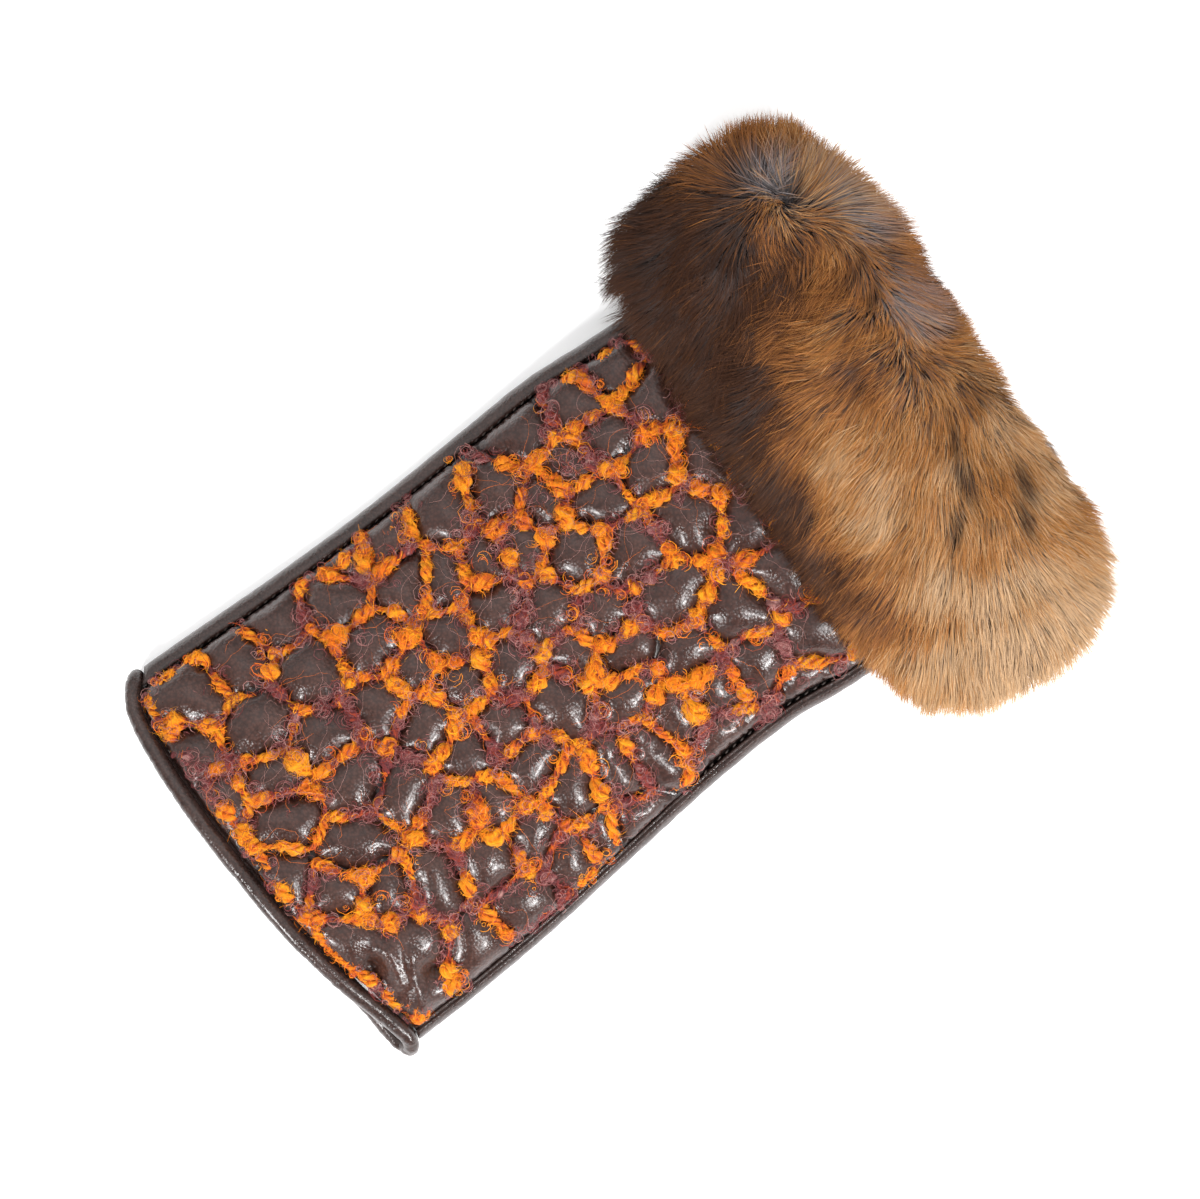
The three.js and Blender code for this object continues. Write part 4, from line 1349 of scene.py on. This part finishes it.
def stitch_row(stitches, groove, turn_in):
    """A row of beads along a groove, this deep in it."""
    for y in np.arange(STITCH_FROM, STITCH_TO, STITCH_PITCH):
        x = groove(y)
        ahead = groove(y + 1) - x
        z = rest_height(y) + SIDE_HEIGHT - turn_in
        place = bowed(np.array([x]), np.array([y]), np.array([z]))[0]
        made = bmesh.ops.create_uvsphere(stitches, u_segments=8, v_segments=5, radius=1)["verts"]
        bmesh.ops.scale(stitches, vec=STITCH_SIZE, verts=made)
        heading = math.pi / 2 - math.atan(ahead) + STITCH_SLANT
        spin = Vector((math.cos(heading), math.sin(heading), 0)).to_track_quat("X", "Z").to_matrix()
        bmesh.ops.rotate(stitches, matrix=spin, verts=made)
        bmesh.ops.translate(stitches, vec=place, verts=made)


thread, thread_shader = new_material("brown_thread", Roughness=0.6)
twist = mottle(thread, object_place(thread), 2500.0, 2.0)
thread_tones = ramp(thread, twist, [(0.3, (0.01, 0.006, 0.005)), (0.7, (0.045, 0.027, 0.02))])
link(thread, thread_tones, thread_shader.inputs["Base Color"])
stitches = bmesh.new()
stitch_row(stitches, lambda y: left_edge(y) + LEFT_LIP + 0.45, 0.55)
stitch_row(stitches, lambda y: quilt_right(y) + 0.5, 1.0)
finish_sheet("seam_stitches", stitches, thread)

# %% [markdown]
# ## Fur cuff
#
# The cuff is a strip of pelt round the wrist. Its body is the hide with its woolly underfur, a closed
# ring made as two bent sheets, outside and inside, joined with bridge_loops. The guard hairs are what
# one sees. Blender's own hair isn't a mesh and can't be exported, so each hair is a narrow ribbon with
# four places along it, in pieces small enough to export. Hair lies away from a parting that runs along
# the top of the cuff, stands up out of the hide and then leans over, and gathers in small tufts.

# %% Form of the cuff, in its own frame
FUR_MIDDLE = np.array([1.2, 157, 20])
FUR_TURN = math.radians(-3.3)
FUR_SQUARENESS = 2.5
FUR_HALF_LENGTH = 31
# Sections along the hand: y, half width, half height
FUR_SECTIONS = [
    (-29, 50, 18),
    (-26.5, 58, 21),
    (-20, 64, 23),
    (-10, 66.8, 23.6),
    (3, 67.8, 24.4),
    (15, 66.5, 23.6),
    (24, 61.5, 20.5),
    (30, 52, 16),
    (33, 38, 11),
]
FUR_START, FUR_END = FUR_SECTIONS[0][0], FUR_SECTIONS[-1][0]
fur_half_width, fur_half_height = along(FUR_SECTIONS, 1), along(FUR_SECTIONS, 2)


def fur_form(y, angle, inset_by):
    """Point of the hair's outer form, less an inset, in glove millimetres."""
    power = 2 / FUR_SQUARENESS
    c, s = np.cos(angle), np.sin(angle)
    x = np.sign(c) * np.abs(c) ** power * (fur_half_width(y) - inset_by)
    z = np.sign(s) * np.abs(s) ** power * (fur_half_height(y) - inset_by)
    y = y * (1 - inset_by / FUR_HALF_LENGTH)
    turned_x = x * math.cos(FUR_TURN) - y * math.sin(FUR_TURN)
    turned_y = x * math.sin(FUR_TURN) + y * math.cos(FUR_TURN)
    return np.stack([turned_x, turned_y, z], axis=-1) + FUR_MIDDLE

# %% Hide and underfur
HAIR_REACH = 7.0  # hair stands this far out of the hide's body
HIDE_COLUMNS, HIDE_ROWS, INSIDE_ROWS = 100, 40, 12
HIDE_CLEAR = 0.5  # between the hide and the leather in it
FUR_FLOOR = 0.3  # height of the lowest hair
HIDE_FLOOR = 1.5  # and of the hide's underside


def hide_outside(across, hand):
    y = FUR_START + hand * (FUR_END - FUR_START)
    place = fur_form(y, 2 * math.pi * across, HAIR_REACH)
    place[:, 2] = np.maximum(place[:, 2], HIDE_FLOOR)
    return place


def hide_inside(across, hand):
    """The ring's hollow, round the leather up to where that ends and round the lining past it."""
    low, high = (fur_form(y, 0, HAIR_REACH)[1] for y in (FUR_START, FUR_END))
    y = low + 2 + hand * (high - low - 2)
    angle = 2 * math.pi * across
    within = smoothstep(y, LEATHER_END - 2, LEATHER_END + 6)
    left = left_edge(y) - HIDE_CLEAR + within * LINING_INSET
    right = right_edge(y) + HIDE_CLEAR - within * LINING_INSET
    x = (left + right) / 2 + (right - left) / 2 * np.cos(angle)
    over_pads, over_lining = PAD_RISE + 2, QUILT_THICK + LINING_CLEAR - HIDE_CLEAR
    roof = arch_height(x, y) + over_pads * (1 - within) - within * over_lining
    ground = rest_height(y) - HIDE_CLEAR + within * (PALM_THICK + GAP)
    return np.stack([x, y, (roof + ground) / 2 + (roof - ground) / 2 * np.sin(angle)], axis=-1)


hide = bent_sheet(HIDE_COLUMNS, HIDE_ROWS, hide_outside)
bmesh.ops.remove_doubles(hide, verts=hide.verts, dist=0.001)
outside_faces = len(hide.faces)
inside = bent_sheet(HIDE_COLUMNS, INSIDE_ROWS, hide_inside)
bmesh.ops.remove_doubles(inside, verts=inside.verts, dist=0.001)
inside_faces = len(inside.faces)
inner_mesh = bpy.data.meshes.new("inside")
inside.to_mesh(inner_mesh)
inside.free()
hide.from_mesh(inner_mesh)
bpy.data.meshes.remove(inner_mesh)
rims = [edge for edge in hide.edges if edge.is_boundary]
middle_y = sum(edge.verts[0].co.y for edge in rims) / len(rims)
for end in (-1, 1):
    loops = [edge for edge in rims if end * (edge.verts[0].co.y - middle_y) > 0]
    bmesh.ops.bridge_loops(hide, edges=loops)
bmesh.ops.recalc_face_normals(hide, faces=hide.faces)
hide.faces.ensure_lookup_table()
skin = []  # triangles of the outer sheet and of both rims, each with its normal
for face in hide.faces[:outside_faces] + hide.faces[outside_faces + inside_faces:]:
    corners = [vert.co[:] for vert in face.verts]
    skin.append((*corners[:3], face.normal[:]))
    if len(corners) == 4:
        skin.append((corners[0], corners[2], corners[3], face.normal[:]))
skin = np.array(skin)
print(len(skin), "triangles of hide carry hair")

# %% Roots of the hair
HAIR_COUNT = 87300
UNDERSIDE_HAIR = 0.3  # how dense the hair is where the hide faces down
hair_chance = np.random.default_rng(5)


def scatter_roots():
    """Hair roots spread over the hide, thinner on the underside, with the hide's normals."""
    a, b, c, normal = skin[:, 0], skin[:, 1], skin[:, 2], skin[:, 3]
    area = np.linalg.norm(np.cross(b - a, c - a), axis=1)
    weight = area * np.where(normal[:, 2] < -0.3, UNDERSIDE_HAIR, 1.0)
    chosen = hair_chance.choice(len(skin), HAIR_COUNT, p=weight / weight.sum())
    one, two = hair_chance.random((2, HAIR_COUNT, 1))
    flip = (one + two) > 1
    one, two = np.where(flip, 1 - one, one), np.where(flip, 1 - two, two)
    roots = a[chosen] + one * (b - a)[chosen] + two * (c - a)[chosen]
    return roots, normal[chosen]


roots, normals = scatter_roots()
print("hair roots:", HAIR_COUNT)

# %% Places in the coat
# Charted as seen from above, in glove millimetres: x, y, half length, half width, heading
OPENED = [(-47, 173, 7, 2.5, 45), (-36, 179, 9, 4.2, 15), (-14, 179, 10, 4.8, -5)]


def charted(places, points, sharpness=1.5, lowest=-12):
    """1 in the middle of each charted place and 0 outside them, fading out under the cuff's sides."""
    shade = np.zeros(points.shape[:-1])
    for x, y, length, width, heading in places:
        c, s = math.cos(math.radians(heading)), math.sin(math.radians(heading))
        dx, dy = points[..., 0] - x, points[..., 1] - y
        apart = ((dx * c + dy * s) / length) ** 2 + ((dy * c - dx * s) / width) ** 2
        shade = np.maximum(shade, np.exp(-(apart**sharpness)))
    height = points[..., 2] - FUR_MIDDLE[2]
    return shade * smoothstep(height, lowest, lowest + 10)


mark_points(hide, "opened", charted(OPENED, points_of(hide), lowest=0))
opened = charted(OPENED, roots, lowest=0)
print((opened > 0.5).sum(), "roots stand where the coat is open")

# %% Parting
# Parting along the top of the cuff, in glove millimetres: x, y
PARTING = np.array([(-47, 169), (-39, 175), (-31, 179), (-21, 178), (-8, 175), (0, 177), (10, 179)], float)
PARTING_WANDER, PARTING_WAVE = 1.6, 13  # the parting strays this far, in waves of this size
END_FADE = 12  # past its ends the parting dies out over about this length


def from_parting(points):
    """Directions away from the nearest point of the parting and along it, and the distance to it."""
    stray = np.stack([waves(points, PARTING_WAVE, seed) for seed in (81, 82)], axis=1)
    points = points[:, :2] + PARTING_WANDER * stray
    best = np.full(len(points), np.inf)
    away, line = np.zeros((2, len(points), 2))
    last = len(PARTING) - 2
    for index, (start, end) in enumerate(zip(PARTING[:-1], PARTING[1:])):
        leg = end - start
        length = np.linalg.norm(leg)
        share = ((points - start) @ leg) / (leg @ leg)
        before, after = np.maximum(0, -share) * length, np.maximum(0, share - 1) * length
        share = np.clip(share, 0, 1)
        share -= (index == 0) * before * np.exp(-before / END_FADE) / length
        share += (index == last) * after * np.exp(-after / END_FADE) / length
        gap = points - (start + share[:, None] * leg)
        reach = np.linalg.norm(gap, axis=1)
        closer = reach < best
        best[closer] = reach[closer]
        away[closer] = gap[closer] / np.maximum(reach[closer], 1e-6)[:, None]
        line[closer] = leg / np.linalg.norm(leg)
    return away, line, best


away, line, far = from_parting(roots)
print(f"the roots lie up to {far.max():.0f} mm from the parting")

# %% Lie of the hair
PARTED = (-43, 8)  # the underfur shows between these places across the hand
CROSSED = -24  # and is hidden here by hair that crosses over
PARTING_SOFT = 1.1  # nearer than this to the parting the hair lies any way
PARTING_LEAN = 0.36  # share of the full lean that the hair has at the parting
LEAN_OVER = 11  # full lean is reached about this far from it
DROP, DROP_FROM, DROP_TO = 0.95, 8, 28  # far from the parting the hair also points down
SWIRL, SWIRL_REACH = 1.1, 8  # near it, the hair also lies along it,
SWIRL_FROM, SWIRL_TO = -50, -38  # but not left of here
LOCK_SIZES = [(0.3, 14, 10), (0.22, 5, 20)]  # strays of whole locks: how much, how large, seed
STRAY = 0.2  # of single hairs

x = roots[:, 0]
closed = smoothstep(PARTED[0] - x, 0, 8) + smoothstep(x - PARTED[1], -5, 6)
closed += 0.8 * np.exp(-(((x - CROSSED) / 4) ** 2))
over = far / LEAN_OVER + closed * smoothstep(far, 0.5, 5)
lean = np.clip(PARTING_LEAN + (1 - PARTING_LEAN) * over, 0, 1)
lean = np.maximum(lean, 0.8 * opened)
away = away * (far / np.hypot(far, PARTING_SOFT))[:, None]
swirl = SWIRL * np.exp(-far / SWIRL_REACH) * smoothstep(x, SWIRL_FROM, SWIRL_TO)
tend = np.column_stack([away + swirl[:, None] * line, -DROP * smoothstep(far, DROP_FROM, DROP_TO)])
tend += np.stack(
    [sum(share * waves(roots, size, seed + k) for share, size, seed in LOCK_SIZES) for k in range(3)],
    axis=1,
)
tend += hair_chance.normal(0, STRAY, (HAIR_COUNT, 3))
tend = one_long(tend - (tend * normals).sum(1)[:, None] * normals)
print(f"mean lean {lean.mean():.2f}")

# %% Shape of each hair
HAIR_LENGTH = 13.2
HAIR_STEPS = 4
WRIST_RIM = 183  # hair is trimmed short towards here, so the opening stays clear
RIM_EASE, RIM_TRIM = 6, 0.45
# Where the coat is longer or shorter than elsewhere: x, y, size, share added
LONGER = [(-60, 137, 11, 0.45), (-58, 186, 13, -0.26), (-31, 182, 13, 0.4)]
# Angles off the hide's normal at the root and at the tip, and what lean and an open place add
ROOT_ANGLE, ROOT_LEAN, ROOT_OPENED = np.radians([20, 14, 22])
TIP_ANGLE, TIP_LEAN = np.radians([34, 46])
# Tufts, small and then large: size, how far their tips are drawn together, seed
TUFTS = [(1.9, 0.18, 50), (5.0, 0.07, 60)]


def hair_spines():
    length = HAIR_LENGTH * (0.78 + 0.22 * lean) * hair_chance.uniform(0.78, 1.06, HAIR_COUNT)
    length = length * (1 + 0.07 * waves(roots, 6, 31))
    length = length * (1 - RIM_TRIM * smoothstep(roots[:, 1], WRIST_RIM - RIM_EASE, WRIST_RIM))
    for x, y, size, share in LONGER:
        apart = (roots[:, 0] - x) ** 2 + (roots[:, 1] - y) ** 2
        length = length * (1 + share * np.exp(-apart / size**2))
    rooted = ROOT_ANGLE + ROOT_LEAN * lean + ROOT_OPENED * opened
    bowed_over = TIP_ANGLE + TIP_LEAN * lean + hair_chance.normal(0, 0.16, HAIR_COUNT)
    spines = [roots - 0.8 * normals]
    for step in range(1, HAIR_STEPS):
        share = (step - 0.5) / (HAIR_STEPS - 1)
        angle = rooted + (bowed_over - rooted) * share
        way = np.cos(angle)[:, None] * normals + np.sin(angle)[:, None] * tend
        spines.append(spines[-1] + way * (length / (HAIR_STEPS - 1))[:, None])
    spines = np.stack(spines, axis=1)
    spines[..., 2] = np.maximum(spines[..., 2], FUR_FLOOR + 0.2 * hair_chance.random((HAIR_COUNT, 1)))
    return spines


def tufted(spines, size, strength, seed):
    """Draws the tips of neighbouring hairs together, towards the middle of their tuft."""
    ragged = np.stack([waves(roots, size * 2.5, seed + k) for k in range(3)], axis=1)
    keys = np.floor(roots / size + 0.35 * ragged)
    _, tuft = np.unique(keys, axis=0, return_inverse=True)
    tuft = tuft.ravel()
    counts = np.bincount(tuft)[:, None]
    tips = np.stack([np.bincount(tuft, spines[:, -1, k]) for k in range(3)], axis=1) / counts
    pull = (strength * np.linspace(0, 1, HAIR_STEPS) ** 1.6)[None, :, None]
    return spines + pull * (tips[tuft] - spines[:, -1])[:, None]


spines = hair_spines()
for tuft in TUFTS:
    spines = tufted(spines, *tuft)
print("tip heights:", np.round(np.percentile(spines[:, -1, 2], [1, 50, 99]), 1))

# %% Colour of the coat
# Patches that are lighter or darker than the coat round them: x, y, half length, half width, heading
GOLDEN_PATCHES = [
    (-53, 177, 15, 8, 50),
    (-42, 176, 10, 7, 45),
    (-40, 187, 11, 6, 30),
    (4, 152, 15, 8, -10),
    (24, 184, 12, 6, 0),
]
DARK_PATCHES = [
    (-42, 142, 26, 11, -20),
    (-14, 184, 10, 5, 0),
    (-14, 145, 17, 9, -15),
    (3, 131, 23, 9, -10),
    (46, 179, 9, 4, -30),
    (-4, 166, 5, 2.5, 0),
]
# Dark streaks of painted shade on the hairs that cross them, where the coat would stand apart; charted in
# the same way
SHADE_STREAKS = [
    (25, 164, 6.0, 2.0, -15),
    (31, 157, 4.5, 1.7, -50),
    (33, 174, 5.5, 1.8, -15),
    (38, 170, 5.0, 1.6, -20),
    (16, 168, 3.5, 1.2, -30),
    (-17, 172, 3.5, 1.3, -60),
    (-24, 173, 4.0, 1.2, -75),
]


def coat_tone(points):
    """0 is dark brown, 0.4 rust, 0.7 golden tan and 1 beige, by place seen from above."""
    x, y = points[:, 0], points[:, 1]
    blurred = 5 * waves(points, 16, 90) + 1.8 * waves(points, 6, 91)
    upwards = (y - 148 + 0.3 * x) * 0.95 + blurred
    tone = 0.05 + 0.43 * smoothstep(upwards, -13, 20)
    tone += 0.17 * smoothstep(x + blurred, -26, 22)
    tone += 0.34 * smoothstep(x - 0.25 * (y - 155) + 1.3 * blurred, 24, 54)
    golden, dark = (charted(patches, points, 1) for patches in (GOLDEN_PATCHES, DARK_PATCHES))
    tone += 0.34 * golden - 0.3 * dark
    tone -= 0.3 * smoothstep(-x, 58, 66)
    return np.clip(tone + 0.07 * waves(points, 9, 92), 0, 1)


tone = coat_tone(roots) + hair_chance.normal(0, 0.12, HAIR_COUNT)
strength = hair_chance.uniform(0.25, 1, (HAIR_COUNT, 1)) ** 0.4
# Painted shade on the parts of hairs that pass over a streak, a little less at their tips
streak_shade = charted(SHADE_STREAKS, spines, lowest=2) * np.array([1, 1, 1, 0.75]) * strength
print("coat tones:", np.round(np.percentile(tone, [5, 50, 95]), 2))

# %% Fur materials
# Tone of the coat and its colour there
COAT_TONES = [
    (0.0, (0.041, 0.0165, 0.009)),
    (0.2, (0.062, 0.0245, 0.0105)),
    (0.42, (0.27, 0.1, 0.029)),
    (0.62, (0.34, 0.14, 0.036)),
    (0.8, (0.435, 0.25, 0.116)),
    (1.0, (0.45, 0.292, 0.168)),
]
UNDERFUR = (0.09, 0.075, 0.072)
OPEN_UNDERFUR = (0.27, 0.26, 0.275)
UNDERFUR_SHARE = 0.88  # of a hair's colour at its root; the rest is the coat's
UNDERFUR_UP_TO, COAT_FROM = 0.3, 0.72  # places along a hair
SHADOWED = (0.016, 0.013, 0.013)
DULLEST, BRIGHTEST = 0.6, 1.36


def blend(material, factor, one, other):
    """Mix of two colours, each a socket or a plain colour."""
    inputs = [("Factor", factor)]
    for key, colour in ((6, one), (7, other)):  # the node's two colour sockets
        plain = not isinstance(colour, bpy.types.NodeSocket)
        inputs.append((key, (*colour, 1) if plain else colour))
    return node(material, "ShaderNodeMix", inputs, data_type="RGBA").outputs[2]


def hair_material():
    """The coat's tone over grey underfur at the roots, with shade painted in the streaks, uneven from hair
    to hair.
    """
    material, shader = new_material("guard_hair", Roughness=0.6, Specular_IOR_Level=0.09)
    mark = {name: carried(material, name) for name in ("tone", "share", "chance", "streak", "opened")}
    coat = ramp(material, mark["tone"], COAT_TONES)
    bare = blend(material, mark["opened"], UNDERFUR, OPEN_UNDERFUR)
    rooted = blend(material, UNDERFUR_SHARE, coat, bare)
    upward = ramp(material, mark["share"], [(UNDERFUR_UP_TO, grey(0)), (COAT_FROM, grey(1))])
    # Painted shade in the streaks
    dark = blend(material, mark["streak"], blend(material, upward, rooted, coat), SHADOWED)
    limits = [("Value", mark["chance"]), ("To Min", DULLEST), ("To Max", BRIGHTEST)]
    bright = node(material, "ShaderNodeMapRange", limits).outputs["Result"]
    link(material, brightened(material, dark, bright), shader.inputs["Base Color"])
    return material


def underfur_material():
    """Short grey wool, paler where the coat is open."""
    material, shader = new_material("woolly_underfur", Roughness=0.95, Specular_IOR_Level=0.05)
    fluff = mottle(material, object_place(material), 900.0, 3.0)
    deep = ramp(material, fluff, [(0.3, (0.03, 0.027, 0.028)), (0.7, (0.1, 0.092, 0.096))])
    pale = ramp(material, fluff, [(0.3, (0.1, 0.093, 0.097)), (0.7, (0.26, 0.245, 0.255))])
    wool_tone = blend(material, carried(material, "opened"), deep, pale)
    link(material, wool_tone, shader.inputs["Base Color"])
    link(material, relief(material, fluff, 1.0, 0.0008), shader.inputs["Normal"])
    return material

# %% Make the cuff's pieces
hide_piece = finish_sheet("fur_hide", hide, underfur_material())
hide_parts("fur_cuff")

HAIR_PIECES = 3
HAIR_HALF_WIDTH = 0.08
HAIR_TAPER = np.array([1.1, 1.15, 0.75, 0.0])  # from the root to the tip
guard_hair = hair_material()
# The hairs are shaded as a soft mass, with the hide's own normals a little disturbed
soft_normals = one_long(normals + 0.15 * np.stack([waves(roots, 9, seed) for seed in (1, 2, 3)], axis=1))
spin = hair_chance.normal(size=(HAIR_COUNT, 3))
chance = hair_chance.beta(2.2, 2.2, HAIR_COUNT)
for part in range(HAIR_PIECES):
    picked = np.arange(part, HAIR_COUNT, HAIR_PIECES)
    own = spines[picked]
    facing = normals[picked][:, None] + 0.4 * spin[picked][:, None]
    side = one_long(np.cross(facing, np.gradient(own, axis=1)))
    half = hair_chance.uniform(0.75, 1.25, len(picked))[:, None] * HAIR_HALF_WIDTH * HAIR_TAPER
    bare = opened[picked][:, None] * hair_chance.uniform(0.4, 1, (len(picked), 1))
    greyed = np.linspace(0, 1, HAIR_STEPS) * (1 - 0.36 * bare)
    marks = {"share": greyed, "streak": streak_shade[picked]}
    for mark, values in (("tone", tone), ("chance", chance), ("opened", opened)):
        marks[mark] = np.repeat(values[picked][:, None], HAIR_STEPS, axis=1)
    mesh = ribbons(f"guard_hair_{part + 1}", own, side * half[..., None], marks)
    piece_of(mesh.name, mesh, guard_hair)
    shading = np.repeat(soft_normals[picked][:, None], 2 * HAIR_STEPS - 1, axis=1)
    mesh.normals_split_custom_set_from_vertices(shading.reshape(-1, 3).tolist())
